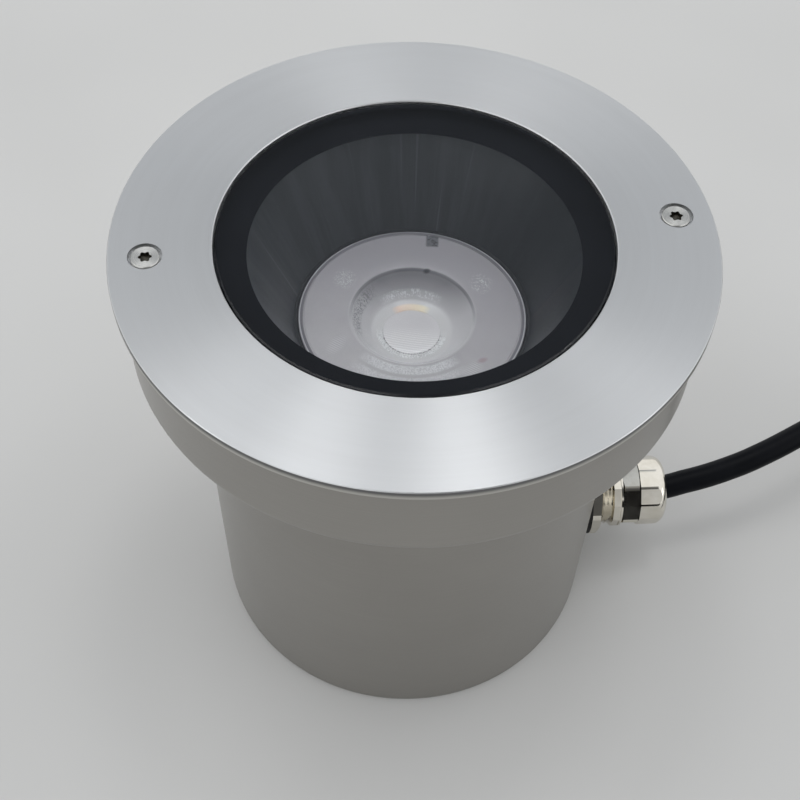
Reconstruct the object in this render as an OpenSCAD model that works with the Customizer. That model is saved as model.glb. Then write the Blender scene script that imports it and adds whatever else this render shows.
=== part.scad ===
// In-ground well light: a round glazed head with a narrow lens on a sunken can, fed through
// a metal cable gland near the foot. Millimetres, +Z up, origin at the centre of the can's foot.

/* [Overall] */
// Height from the foot of the can to the face of the trim ring
light_h = 174; // [150:1:230]

/* [Trim ring] */
// Width of the ring's face, from its bore to its outside
ring_w = 30.4; // [28:0.1:36]
// Thickness of the trim ring
ring_t = 3; // [2.6:0.1:4]
// Bevel on the ring's outer and inner edges
ring_bevel = 0.3; // [0.2:0.1:1.2]
// Gap between the ring's bore and the glass
ring_glass_gap = 0.6; // [0.3:0.1:1]
// Shadow gap between the ring and the collar's rim
rim_gap = 0.5; // [0.3:0.1:1]

/* [Trim screws] */
// Distance of the trim screws from the ring's outside
trim_edge = 11; // [10.5:0.1:12]
// Direction of the first trim screw, anticlockwise from the front's right
trim_turn = 9; // [-30:1:30]
// Diameter of a screw head
trim_head_d = 8.6; // [7.5:0.1:9]
// Height of a screw head
trim_head_t = 1.75; // [1.2:0.05:1.9]
// Diameter of the recess round a head
trim_recess_d = 10.2; // [9.6:0.1:10.8]
// Depth of the recess
trim_recess_t = 2; // [1.5:0.1:2.2]
// Thread diameter of a trim screw
trim_thread_d = 5; // [4:0.5:6]
// Length of the threaded shank
trim_shank_l = 16; // [12:1:17]

/* [Glass] */
// Diameter of the glass that shows inside the ring
glass_d = 118; // [104:1:130]
// Thickness of the glass
glass_t = 9; // [8:0.5:11]
// Width of the stepped lip under the ring
glass_lip_w = 6; // [5:0.1:6.5]
// How far the glass lies below the ring's face
glass_drop = 0.3; // [0:0.1:0.6]
// Width of the black printed border that shows
print_w = 9; // [7:0.5:12]
// Thickness drawn for the printed border
print_t = 0.3; // [0.2:0.1:0.5]

/* [Glass gasket] */
// Thickness of the gasket under the glass
gasket_t = 1.7; // [1.2:0.1:2.4]
// Thickness of the gasket over the lip
gasket_top_t = 0.8; // [0.6:0.1:1.2]
// Wall of the gasket round the lip
gasket_wall = 1.4; // [1:0.1:1.6]

/* [Collar] */
// How far the ring reaches out past the collar
ring_over = 2.25; // [1.5:0.05:2.5]
// Distance from the ring's face down to the collar's lower edge
collar_drop = 34; // [29:0.5:34]
// Wall of the collar
collar_wall = 3; // [2:0.1:3.1]
// Thickness of the collar's floor
collar_floor_t = 4; // [3:0.5:4]
// Radius of the collar's lower edge
collar_edge_r = 4; // [2:0.5:6.5]

/* [Can] */
// Wall of the can
can_wall = 2.5; // [2:0.1:3]
// Thickness of the can's floor
can_floor_t = 3; // [2:0.5:4]
// Radius of the can's lower edge
can_edge_r = 1.5; // [0.5:0.1:1.9]
// Thickness of the can's top flange
can_flange_t = 2.5; // [2:0.1:3]

/* [Seat ring] */
// Thickness of the flat gasket between the can and the seat ring
can_gasket_t = 2; // [1:0.1:2.2]
// Thickness of the seat ring's flange
seat_flange_t = 4; // [3:0.1:4]
// Thickness of the ledge that carries the glass
seat_ledge_t = 3.5; // [2.5:0.1:4]
// Wall of the seat ring round the glass
seat_wall = 3; // [2.4:0.1:3.2]
// Number of screws through the seat ring
seat_screw_count = 4; // [3:1:8]
// Thread diameter of the seat screws
seat_screw_d = 4; // [3:0.5:4]

/* [Lens and cone] */
// Distance from the ring's face down to the lens
lens_drop = 39.7; // [36:0.1:44]
// Diameter of the lens
lens_d = 72.4; // [66:0.2:74]
// Height of the lens
lens_h = 34; // [30:0.5:36]
// Thickness of the lens's rim
lens_rim_t = 2.6; // [2:0.1:4]
// Diameter of the well in the middle of the lens
lens_well_d = 18.8; // [14:0.2:22]
// Depth of that well below the lens's face
lens_well_h = 8.5; // [4:0.5:9]
// Wall of the reflector cone
cone_wall = 1.4; // [1:0.1:1.8]

/* [Lens holder] */
// Wall of the holder's tube
holder_wall = 2.9; // [2:0.1:3.4]
// Thickness of the holder's foot
holder_foot_t = 2.5; // [2:0.1:3.5]
// Width of the holder's foot outside its tube
holder_foot_w = 6.5; // [6:0.1:8.5]
// Diameter of the holder's screws
holder_screw_d = 3; // [2.5:0.1:3.5]

/* [Light source] */
// Side of the light source's square board
board_w = 30; // [26:1:34]
// Thickness of the board
board_t = 1.2; // [1:0.1:2]
// Diameter of the yellow emitting disc
emitter_d = 17; // [12:0.5:18]
// Thickness of the emitting disc
emitter_t = 0.6; // [0.4:0.1:0.8]
// Thickness of the thermal pad under the board
pad_t = 0.3; // [0.2:0.1:0.5]

/* [Heat sink] */
// Gap between the heat sink's plate and the can's wall
sink_gap = 3.3; // [2.3:0.1:5]
// Thickness of the plate
sink_t = 6; // [4:0.5:8]
// Length of the fins
fin_h = 24; // [15:1:28]
// Thickness of a fin
fin_t = 2; // [1.5:0.1:2.5]
// Distance from one fin to the next
fin_pitch = 12; // [11:0.5:13]
// Diameter of the screws that hold the heat sink
sink_screw_d = 4; // [3:0.5:5]

/* [Driver] */
// Room for the cable between the driver and the can's wall
driver_room = 29.3; // [28:0.1:44]
// Gap between the driver and the can's wall on its other side
driver_back_gap = 9.3; // [6:0.1:14]
// Width of the driver's case
driver_w = 42; // [34:1:44]
// Height of the driver's case without its cover
driver_h = 22; // [18:1:26]
// Thickness of the driver's cover
driver_cover_t = 4; // [3:0.5:6]
// Length of each fixing ear
driver_ear_l = 10; // [9:0.5:10]
// Thickness of the fixing ears
driver_ear_t = 2.4; // [2:0.1:3.5]

/* [Terminal block] */
// Length of the terminal block
block_l = 28; // [24:1:30]
// Width of the terminal block
block_w = 17; // [15:0.5:18]
// Height of the terminal block
block_h = 14; // [12:0.5:18]

/* [Cable gland] */
// Height of the gland's axis above the foot
gland_z = 29.5; // [26:0.5:34]
// Direction of the gland's axis, anticlockwise from the front's right
gland_turn = 5; // [0:1:10]
// Diameter of the black gasket against the can
gland_gasket_d = 32; // [30:0.5:34]
// Thickness of that gasket
gland_gasket_t = 2.4; // [1.5:0.1:3]
// Size across the flats of the locknut
locknut_af = 29; // [28:0.5:32]
// Thickness of the locknut
locknut_t = 4.1; // [3:0.1:6]
// Length of thread that shows between the locknut and the collar
gland_thread_l = 4.5; // [3:0.5:7.5]
// Thread diameter of the gland
gland_thread_d = 24.8; // [23:0.2:25]
// Pitch of the gland's thread
gland_pitch = 1.5; // [1:0.25:1.5]
// Diameter of the twelve-sided collar
gland_collar_d = 26.8; // [26:0.1:28]
// Thickness of that collar and its thin flange
gland_collar_t = 3.4; // [2.5:0.1:5]
// Size across the flats of the gland's body
gland_body_af = 25; // [24.5:0.1:26]
// Length of the hexagon of the gland's body
gland_body_l = 6.6; // [5:0.1:9]
// Diameter of the domed nut
gland_nut_d = 26.6; // [25.5:0.1:27.5]
// Length of the domed nut
gland_nut_l = 10.8; // [10.5:0.1:13]

/* [Cable] */
// Diameter of the supply cable
cable_d = 9.3; // [8.5:0.1:9.4]
// Length of the sheath past the gland's inner end
sheath_in = 8.6; // [4:0.1:12]
// Diameter of the three cores in the cable
core_d = 2.8; // [2.4:0.1:3.2]
// Diameter of the coil at the middle of its turns
coil_d = 100; // [96:1:112]
// Thickness of the strap that ties the coil
tie_t = 1.2; // [0.8:0.1:1.6]
// Width of that strap
tie_w = 4.8; // [3.6:0.1:8]

/* [Hidden] */
$fn = 96;

// Shared fits and overruns
cut = 1;
fit_gap = 0.05;
slip_gap = 0.4;
seam_gap = 0.2;
edge_bevel = 0.5;

// Levels, worked out downwards from the face of the trim ring
ring_z = light_h - ring_t;
glass_top = light_h - glass_drop;
glass_z = glass_top - glass_t;
lip_top = ring_z - gasket_top_t;
print_z = glass_z - print_t;
seat_z = print_z - gasket_t;
ledge_z = seat_z - seat_ledge_t;
collar_top = ring_z - rim_gap;
collar_z = light_h - collar_drop;
can_flange_z = collar_z + collar_floor_t;
can_top = can_flange_z + can_flange_t;
flange_z = can_top + can_gasket_t;
flange_top = flange_z + seat_flange_t;
lens_top = light_h - lens_drop;
lens_z = lens_top - lens_h;
lens_gap = 0.6;
emitter_z = lens_z - lens_gap - emitter_t;
board_z = emitter_z - board_t;
sink_top = board_z - pad_t;
sink_z = sink_top - sink_t;

// Radii
glass_r = glass_d / 2;
ring_bore_r = glass_r + ring_glass_gap;
ring_r = ring_bore_r + ring_w;
lip_r = glass_r + glass_lip_w;
gasket_r = lip_r + gasket_wall;
pocket_r = gasket_r + slip_gap;
seat_wall_r = pocket_r + seat_wall;
print_bore_r = glass_r - print_w;
ledge_step = 3.2;
ledge_r = print_bore_r + ledge_step;
collar_r = ring_r - ring_over;
collar_in_r = collar_r - collar_wall;
can_r = seat_wall_r;
can_in_r = can_r - can_wall;
flange_gap = 0.45;
seat_flange_r = collar_in_r - flange_gap;
can_flange_r = seat_flange_r - cut;
trim_r = ring_r - trim_edge;
seat_screw_r = (seat_wall_r + collar_in_r) / 2;
seat_turn = 54;

// Colours
STEEL = [0.72, 0.73, 0.74];
SATIN_GREY = [0.50, 0.49, 0.46];
NICKEL = [0.74, 0.72, 0.68];
ALUMINIUM = [0.66, 0.67, 0.68];
BLACK = [0.10, 0.10, 0.11];
RUBBER = [0.09, 0.09, 0.10];
DARK_GREY = [0.25, 0.26, 0.27];
CLEAR = [0.80, 0.84, 0.86, 0.45];
YELLOW = [0.93, 0.85, 0.45];
WHITE = [0.90, 0.90, 0.88];
ZINC = [0.70, 0.70, 0.68];
BROWN = [0.42, 0.26, 0.14];
BLUE = [0.16, 0.36, 0.72];
GREEN = [0.45, 0.66, 0.20];
RED = [0.75, 0.13, 0.12];
BRASS = [0.78, 0.62, 0.28];
COPPER = [0.80, 0.48, 0.30];

// Helpers

module tube_between(outer_r, inner_r, z0, z1) {
    translate([0, 0, z0]) difference() {
        cylinder(r = outer_r, h = z1 - z0);
        translate([0, 0, -cut]) cylinder(r = inner_r, h = z1 - z0 + 2 * cut);
    }
}

module ring_of(count, radius) {
    for (k = [0 : count - 1]) rotate(360 * k / count) translate([radius, 0, 0]) children();
}

// A screw with its head's underside at z = 0, its shank downwards and a socket in its head
module screw(shank_r, shank_l, head_r, head_t, socket_r, socket_sides = 6) {
    socket_t = head_t * socket_depth_share;
    difference() {
        union() {
            cylinder(r = head_r, h = head_t, $fn = 48);
            translate([0, 0, -shank_l]) cylinder(r = shank_r, h = shank_l + head_t / 2, $fn = 32);
        }
        translate([0, 0, head_t - socket_t])
            cylinder(r = socket_r, h = socket_t + cut, $fn = socket_sides);
    }
}
socket_depth_share = 0.6;

// Things along the gland's axis: local Z runs outwards, from the light's own axis
module on_gland(d) {
    rotate(gland_turn) translate([d, 0, gland_z]) rotate([0, 90, 0]) children();
}
function gland_point(d) = [d * cos(gland_turn), d * sin(gland_turn), gland_z];

// Swept tubes: one ring of points at each place on a path, square to the path
function unit(v) = v / norm(v);
function heading(p, i) = unit(p[min(i + 1, len(p) - 1)] - p[max(i - 1, 0)]);
function ring_at(c, t, r, sides, ref) =
    let (s = unit(cross(t, ref)), u = cross(s, t))
    [for (k = [0 : sides - 1]) c + r * (cos(360 * k / sides) * s + sin(360 * k / sides) * u)];

module swept(path, r, sides = 12, ref = [0, 0, 1]) {
    n = len(path);
    points = [for (i = [0 : n - 1]) each ring_at(path[i], heading(path, i), r, sides, ref)];
    walls = [for (i = [0 : n - 2], k = [0 : sides - 1])
        let (a = i * sides + k, b = i * sides + (k + 1) % sides)
        each [[a, b, b + sides], [a, b + sides, a + sides]]];
    first = [for (k = [0 : sides - 1]) sides - 1 - k];
    last = [for (k = [0 : sides - 1]) (n - 1) * sides + k];
    polyhedron(points = points, faces = concat(walls, [first], [last]), convexity = 8);
}

// A smooth run through every point of a path, in so many steps from one point to the next
function blend(a, b, c, d, t) =
    (2 * b + (c - a) * t + (2 * a - 5 * b + 4 * c - d) * t * t + (3 * b - a - 3 * c + d) * t * t * t) / 2;
function curved(p, steps = 4) = let (n = len(p) - 1) concat(
    [for (i = [0 : n - 1], k = [0 : steps - 1])
        blend(p[max(i - 1, 0)], p[i], p[i + 1], p[min(i + 2, n)], k / steps)],
    [p[n]]);

// Trim ring and its screws

module trim_ring() color(STEEL) difference() {
    rotate_extrude($fn = 144) polygon([
        [ring_bore_r + ring_bevel / 4, ring_z],
        [ring_r - ring_bevel / 2, ring_z],
        [ring_r, ring_z + ring_bevel / 2],
        [ring_r, light_h - ring_bevel],
        [ring_r - ring_bevel, light_h],
        [ring_bore_r + ring_bevel, light_h],
        [ring_bore_r, light_h - ring_bevel],
        [ring_bore_r, ring_z + ring_bevel / 4]
    ]);
    rotate(trim_turn) ring_of(2, trim_r) {
        translate([0, 0, light_h - trim_recess_t])
            cylinder(r = trim_recess_d / 2, h = trim_recess_t + cut, $fn = 64);
        translate([0, 0, ring_z - cut])
            cylinder(r = trim_thread_d / 2 + seam_gap, h = ring_t + 2 * cut, $fn = 48);
    }
}

// A six-lobed outline: the radius swells six times round the circle
lobe_r_share = 0.42;
lobe_swell_share = 0.15;
module six_lobes(r) {
    polygon([for (k = [0 : 47]) let (a = 360 * k / 48, m = r * (1 + lobe_swell_share * cos(6 * a)))
        [m * cos(a), m * sin(a)]]);
}

trim_head_z = light_h - trim_recess_t;
trim_socket_share = 0.8;
module trim_screw() color(STEEL) translate([0, 0, trim_head_z]) difference() {
    union() {
        rotate_extrude($fn = 64) polygon([
            [0, -trim_shank_l], [trim_thread_d / 2 - edge_bevel, -trim_shank_l],
            [trim_thread_d / 2, edge_bevel - trim_shank_l], [trim_thread_d / 2, 0],
            [trim_head_d / 2, 0], [trim_head_d / 2, trim_head_t - edge_bevel / 2],
            [trim_head_d / 2 - edge_bevel / 2, trim_head_t], [0, trim_head_t]
        ]);
    }
    translate([0, 0, trim_head_t * (1 - trim_socket_share)])
        linear_extrude(height = trim_head_t) six_lobes(trim_head_d / 2 * lobe_r_share);
}
module trim_screw_east() rotate(trim_turn) translate([trim_r, 0, 0]) trim_screw();
module trim_screw_west() rotate(trim_turn + 180) translate([trim_r, 0, 0]) trim_screw();

// Glass, its printed border and its gasket

module glass() color(CLEAR) rotate_extrude($fn = 144) polygon([
    [0, glass_z], [lip_r - edge_bevel, glass_z], [lip_r, glass_z + edge_bevel],
    [lip_r, lip_top - edge_bevel], [lip_r - edge_bevel, lip_top], [glass_r, lip_top],
    [glass_r, glass_top - edge_bevel], [glass_r - edge_bevel, glass_top], [0, glass_top]
]);

module glass_print() color(BLACK) tube_between(lip_r - edge_bevel, print_bore_r, print_z, glass_z);

module glass_gasket() color(RUBBER) rotate_extrude($fn = 96) polygon([
    [ledge_r + seam_gap, seat_z], [gasket_r, seat_z], [gasket_r, ring_z],
    [ring_bore_r + ring_bevel / 4, ring_z], [ring_bore_r + ring_bevel / 4, lip_top],
    [lip_r + fit_gap, lip_top], [lip_r + fit_gap, print_z], [ledge_r + seam_gap, print_z]
]);

// Housing: collar, can, flat gasket and the seat ring that clamps them

module collar() color(SATIN_GREY) difference() {
    rotate_extrude($fn = 144) difference() {
        union() {
            translate([can_r + seam_gap, collar_z])
                square([collar_r - collar_edge_r - can_r - seam_gap, collar_top - collar_z]);
            translate([can_r + seam_gap, collar_z + collar_edge_r])
                square([collar_r - can_r - seam_gap, collar_top - collar_z - collar_edge_r]);
            translate([collar_r - collar_edge_r, collar_z + collar_edge_r])
                circle(r = collar_edge_r, $fn = 48);
        }
        translate([0, can_flange_z]) square([collar_in_r, collar_top - collar_z]);
    }
    rotate(seat_turn) ring_of(seat_screw_count, seat_screw_r)
        translate([0, 0, can_flange_z - seat_thread_in])
            cylinder(r = seat_screw_d / 2 + fit_gap, h = seat_thread_in + cut, $fn = 32);
}
seat_thread_in = collar_floor_t * 3 / 4;

gland_pad_in = 6;
gland_pad_r = gland_gasket_d / 2 - cut;
spot_in = 0.2;
gland_flat = sqrt(pow(can_r, 2) - pow(gland_gasket_d / 2 + slip_gap, 2)) - spot_in;
gland_shank_r = gland_thread_d / 2;
lug_w = 13;
lug_t = 9;
lug_in = 11;
lug_r = can_in_r - lug_in;
sink_screw_edge = 4.6;
sink_r = can_in_r - sink_gap;
sink_screw_r = sink_r - sink_screw_edge;
lug_count = 3;
lug_turn = 30;
boss_t = 3;
boss_r = 4.4;
edge_steps = 4;
lug_thread_share = 0.6;

// The can's hollow, round the gland's pad, the heat sink's lugs and the bosses on the floor
module can_hollow() difference() {
    translate([0, 0, can_floor_t]) cylinder(r = can_in_r, h = can_top, $fn = 144);
    on_gland(gland_flat - gland_pad_in) cylinder(r = gland_pad_r, h = can_r);
    for (k = [0 : lug_count - 1]) rotate(lug_turn + 360 * k / lug_count)
        translate([lug_r, -lug_w / 2, sink_z - lug_t]) cube([can_r - lug_r, lug_w, lug_t]);
    for (s = [-1, 1]) translate([driver_x + s * ear_reach, 0, 0])
        cylinder(r = boss_r, h = can_floor_t + boss_t, $fn = 48);
    translate([earth_x, earth_y, 0]) cylinder(r = boss_r, h = can_floor_t + boss_t, $fn = 48);
}

module can() color(SATIN_GREY) difference() {
    rotate_extrude($fn = 144) polygon(concat(
        [[0, can_top], [0, 0]],
        [for (i = [0 : edge_steps]) let (a = 90 * i / edge_steps)
            [can_r - can_edge_r + can_edge_r * sin(a), can_edge_r - can_edge_r * cos(a)]],
        [[can_r, can_flange_z], [can_flange_r, can_flange_z], [can_flange_r, can_top]]
    ));
    can_hollow();
    on_gland(gland_flat) cylinder(r = gland_gasket_d / 2 + slip_gap, h = can_r);
    on_gland(gland_flat - gland_pad_in - cut)
        cylinder(r = gland_shank_r + fit_gap, h = gland_pad_in + 2 * cut);
    rotate(seat_turn) ring_of(seat_screw_count, seat_screw_r) translate([0, 0, can_flange_z - cut])
        cylinder(r = seat_screw_d / 2 + seam_gap, h = can_flange_t + 2 * cut, $fn = 32);
    rotate(lug_turn) ring_of(lug_count, sink_screw_r) translate([0, 0, sink_z - lug_t * lug_thread_share])
        cylinder(r = sink_screw_d / 2 + fit_gap, h = lug_t, $fn = 32);
    for (s = [-1, 1]) translate([driver_x + s * ear_reach, 0, can_floor_t])
        cylinder(r = driver_screw_r + fit_gap, h = boss_t + cut, $fn = 32);
    translate([earth_x, earth_y, can_floor_t])
        cylinder(r = earth_screw_r + fit_gap, h = boss_t + cut, $fn = 32);
}

module can_gasket() color(RUBBER) difference() {
    tube_between(can_flange_r, can_in_r + cut, can_top, flange_z);
    rotate(seat_turn) ring_of(seat_screw_count, seat_screw_r) translate([0, 0, can_top - cut])
        cylinder(r = seat_screw_d / 2 + seam_gap, h = can_gasket_t + 2 * cut, $fn = 32);
}

pillar_top = ring_z - slip_gap;
pillar_wall = 2.6;
pillar_r = trim_thread_d / 2 + pillar_wall;
module seat_ring() color(ALUMINIUM) difference() {
    union() {
        tube_between(seat_flange_r, can_in_r, flange_z, flange_top);
        tube_between(seat_wall_r, pocket_r, flange_z, ring_z - slip_gap);
        tube_between(pocket_r + seat_wall / 2, ledge_r, ledge_z, seat_z);
        rotate(trim_turn) ring_of(2, trim_r) translate([0, 0, flange_z])
            cylinder(r = pillar_r, h = pillar_top - flange_z, $fn = 48);
    }
    rotate(trim_turn) ring_of(2, trim_r) translate([0, 0, flange_z + seat_flange_t / 4])
        cylinder(r = trim_thread_d / 2 + 2 * fit_gap, h = pillar_top, $fn = 48);
    rotate(seat_turn) ring_of(seat_screw_count, seat_screw_r) translate([0, 0, flange_z - cut])
        cylinder(r = seat_screw_d / 2 + seam_gap, h = seat_flange_t + 2 * cut, $fn = 32);
}

seat_screw_l = seat_flange_t + can_gasket_t + can_flange_t + seat_thread_in - slip_gap;
head_share = 0.85;
seat_head_r = seat_screw_d * head_share;
low_head_share = 0.7;
socket_share = 0.35;
module seat_screws() color(ZINC) rotate(seat_turn) ring_of(seat_screw_count, seat_screw_r)
    translate([0, 0, flange_top]) screw(seat_screw_d / 2, seat_screw_l, seat_head_r,
        seat_screw_d * low_head_share, seat_screw_d * socket_share);

// Optics: cone, lens and the holder that carries both

holder_in_r = lens_d / 2 + seam_gap;
holder_r = holder_in_r + holder_wall;
cone_foot_r = holder_in_r + cut;
cone_top_r = ledge_r - slip_gap - cone_wall;
cone_top = print_z - slip_gap;

module reflector_cone() color(DARK_GREY) rotate_extrude($fn = 144) polygon([
    [cone_foot_r, lens_top], [cone_foot_r + cone_wall, lens_top],
    [cone_top_r + cone_wall, ledge_z], [cone_top_r + cone_wall, cone_top],
    [cone_top_r, cone_top]
]);

// Outline of the lens's body: from the rim it narrows to the foot on a curve that bulges outwards
lens_rim_r = lens_d / 2;
lens_rim_w = 1.8;
lens_body_r = lens_rim_r - lens_rim_w;
lens_foot_r = 9.8;
lens_pocket_r = 7.6;
lens_pocket_h = 9;
lens_body_h = lens_h - lens_rim_t;
lens_steps = 14;
lens_bulge_share = 0.62;
lens_step_r_share = 0.27;
lens_step_w_share = 0.015;
lens_step_h = 0.5;
well_rise = 1;
lens_bowl_r_share = 0.175;
lens_bowl_h_share = 0.9;
lens_bowl_bend_share = 1.3;
lens_bowl_steps = 6;
// Side of the bowl round the well: steep at the lens's step and flatter towards the well's mouth
function lens_bowl(s) = [lens_d * (lens_step_r_share + (lens_bowl_r_share - lens_step_r_share) * s),
    lens_top - lens_step_h - (lens_well_h * lens_bowl_h_share - lens_step_h) * (1 - pow(1 - s, lens_bowl_bend_share))];
function lens_side(s) = [lens_foot_r + (lens_body_r - lens_foot_r) * pow(s, lens_bulge_share), lens_z + lens_body_h * s];
module lens() color(CLEAR) rotate_extrude($fn = 120) polygon(concat(
    [[0, lens_z + lens_pocket_h], [lens_pocket_r * 3 / 4, lens_z + lens_pocket_h * 4 / 5],
     [lens_pocket_r, lens_z]],
    [for (i = [0 : lens_steps]) lens_side(i / lens_steps)],
    [[lens_rim_r, lens_top - lens_rim_t], [lens_rim_r, lens_top - edge_bevel],
     [lens_rim_r - edge_bevel, lens_top],
     [lens_d * (lens_step_r_share + lens_step_w_share), lens_top],
     [lens_d * lens_step_r_share, lens_top - lens_step_h]],
    [for (i = [1 : lens_bowl_steps]) lens_bowl(i / lens_bowl_steps)],
    [[lens_well_d / 2 + edge_bevel, lens_top - lens_well_h * lens_bowl_h_share],
     [lens_well_d / 2, lens_top - lens_well_h]],
    [for (i = [1 : 6]) let (a = 90 * i / 6)
        [lens_well_d / 2 * cos(a), lens_top - lens_well_h + well_rise * sin(a)]]
));

holder_screw_count = 3;
holder_screw_ring = holder_r + holder_foot_w / 2;
holder_turn = 90;
holder_foot_r = holder_r + holder_foot_w;
window_w = 16;
window_h = 12;
module lens_holder() color(DARK_GREY) difference() {
    union() {
        tube_between(holder_r, holder_in_r, sink_top, lens_top);
        tube_between(holder_r - holder_wall / 2, lens_body_r + seam_gap,
            lens_top - lens_rim_t - lens_rim_t, lens_top - lens_rim_t);
        tube_between(holder_foot_r, holder_in_r, sink_top, sink_top + holder_foot_t);
    }
    rotate(holder_turn) ring_of(holder_screw_count, holder_screw_ring) translate([0, 0, sink_top - cut])
        cylinder(r = holder_screw_d / 2 + seam_gap, h = holder_foot_t + 2 * cut, $fn = 32);
    for (k = [0 : holder_screw_count - 1]) rotate(holder_turn + 360 * k / holder_screw_count)
        translate([holder_in_r - holder_wall, -window_w / 2, sink_top + holder_foot_t + cut])
            cube([3 * holder_wall, window_w, window_h]);
}
module holder_screws() color(ZINC) rotate(holder_turn) ring_of(holder_screw_count, holder_screw_ring)
    translate([0, 0, sink_top + holder_foot_t]) screw(holder_screw_d / 2, holder_foot_t + sink_t / 2,
        holder_screw_d * head_share, holder_screw_d * low_head_share, holder_screw_d * socket_share);

// Light source on its board

board_screw_d = 2.5;
board_screw_edge = 3.2;
board_screw_at = board_w / 2 - board_screw_edge;
module led_board() color(WHITE) difference() {
    translate([-board_w / 2, -board_w / 2, board_z]) cube([board_w, board_w, board_t]);
    for (s = [-1, 1]) translate([s * board_screw_at, s * board_screw_at, board_z - cut])
        cylinder(r = board_screw_d / 2 + seam_gap, h = board_t + 2 * cut, $fn = 32);
}
module led_emitter() color(YELLOW) translate([0, 0, board_z + board_t])
    cylinder(r = emitter_d / 2, h = emitter_t, $fn = 64);
module thermal_pad() color([0.75, 0.78, 0.80]) difference() {
    translate([-board_w / 2, -board_w / 2, sink_top]) cube([board_w, board_w, pad_t]);
    for (s = [-1, 1]) translate([s * board_screw_at, s * board_screw_at, sink_top - cut])
        cylinder(r = board_screw_d / 2 + seam_gap, h = pad_t + 2 * cut, $fn = 32);
}
module board_screws() color(ZINC) for (s = [-1, 1])
    translate([s * board_screw_at, s * board_screw_at, board_z + board_t])
        screw(board_screw_d / 2, board_t + pad_t + sink_t / 2, board_screw_d * head_share,
            board_screw_d * low_head_share, board_screw_d * socket_share);

// Heat sink: a plate on three lugs of the can, with fins below it

fin_reach = lug_r - 2 * cut;
fin_count = 9;
lead_hole_r = 2;
lead_x = 26;
lead_y = 6;
module fin(y) {
    half = sqrt(pow(fin_reach, 2) - pow(abs(y) + fin_t / 2, 2));
    translate([-half, y - fin_t / 2, sink_z - fin_h]) cube([2 * half, fin_t, fin_h + sink_t / 2]);
}
module heat_sink() color(ALUMINIUM) difference() {
    union() {
        translate([0, 0, sink_z]) cylinder(r = sink_r, h = sink_t, $fn = 120);
        for (k = [0 : fin_count - 1]) if (abs(k - (fin_count - 1) / 2) * fin_pitch < fin_reach - fin_pitch / 2)
            fin((k - (fin_count - 1) / 2) * fin_pitch);
    }
    for (k = [0 : lug_count - 1]) rotate(lug_turn + 360 * k / lug_count) translate([sink_screw_r, 0, sink_z - cut])
        cylinder(r = sink_screw_d / 2 + seam_gap, h = sink_t + 2 * cut, $fn = 32);
    rotate(holder_turn) ring_of(holder_screw_count, holder_screw_ring) translate([0, 0, sink_z + sink_t / 4])
        cylinder(r = holder_screw_d / 2 + fit_gap, h = sink_t, $fn = 32);
    for (s = [-1, 1]) translate([s * board_screw_at, s * board_screw_at, sink_z + sink_t / 4])
        cylinder(r = board_screw_d / 2 + fit_gap, h = sink_t, $fn = 32);
    for (s = [-1, 1]) translate([-lead_x, s * lead_y, sink_z - cut])
        cylinder(r = lead_hole_r, h = sink_t + 2 * cut, $fn = 32);
}
module sink_screws() color(ZINC) for (k = [0 : lug_count - 1])
    rotate(lug_turn + 360 * k / lug_count) translate([sink_screw_r, 0, sink_top])
        screw(sink_screw_d / 2, sink_t + lug_t / 2, sink_screw_d * head_share,
            sink_screw_d * low_head_share, sink_screw_d * socket_share);

// Driver on two bosses of the can's floor

driver_l = 2 * can_in_r - driver_room - driver_back_gap - 2 * driver_ear_l;
driver_x = (driver_back_gap - driver_room) / 2;
driver_z = can_floor_t + boss_t;
ear_reach = driver_l / 2 + driver_ear_l / 2;
ear_w = 12;
driver_screw_r = 1.5;
module driver_case() color(WHITE) difference() {
    union() {
        translate([driver_x - driver_l / 2, -driver_w / 2, driver_z]) cube([driver_l, driver_w, driver_h]);
        translate([driver_x - driver_l / 2 - driver_ear_l, -ear_w / 2, driver_z])
            cube([driver_l + 2 * driver_ear_l, ear_w, driver_ear_t]);
    }
    for (s = [-1, 1]) translate([driver_x + s * ear_reach, 0, driver_z - cut])
        cylinder(r = driver_screw_r + seam_gap, h = driver_ear_t + 2 * cut, $fn = 32);
}
module driver_cover() color(DARK_GREY) difference() {
    translate([driver_x - driver_l / 2, -driver_w / 2, driver_z + driver_h])
        cube([driver_l, driver_w, driver_cover_t]);
    for (s = [-1, 1]) translate([-lead_x, s * lead_y, driver_z + driver_h + driver_cover_t / 2])
        cylinder(r = led_lead_r + seam_gap, h = driver_cover_t, $fn = 24);
}
module driver_screws() color(ZINC) for (s = [-1, 1])
    translate([driver_x + s * ear_reach, 0, driver_z + driver_ear_t])
        screw(driver_screw_r, driver_ear_t + boss_t - slip_gap, 2 * driver_screw_r * head_share,
            2 * driver_screw_r * low_head_share, 2 * driver_screw_r * socket_share);

// Terminal block on the can's floor, three ways

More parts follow.
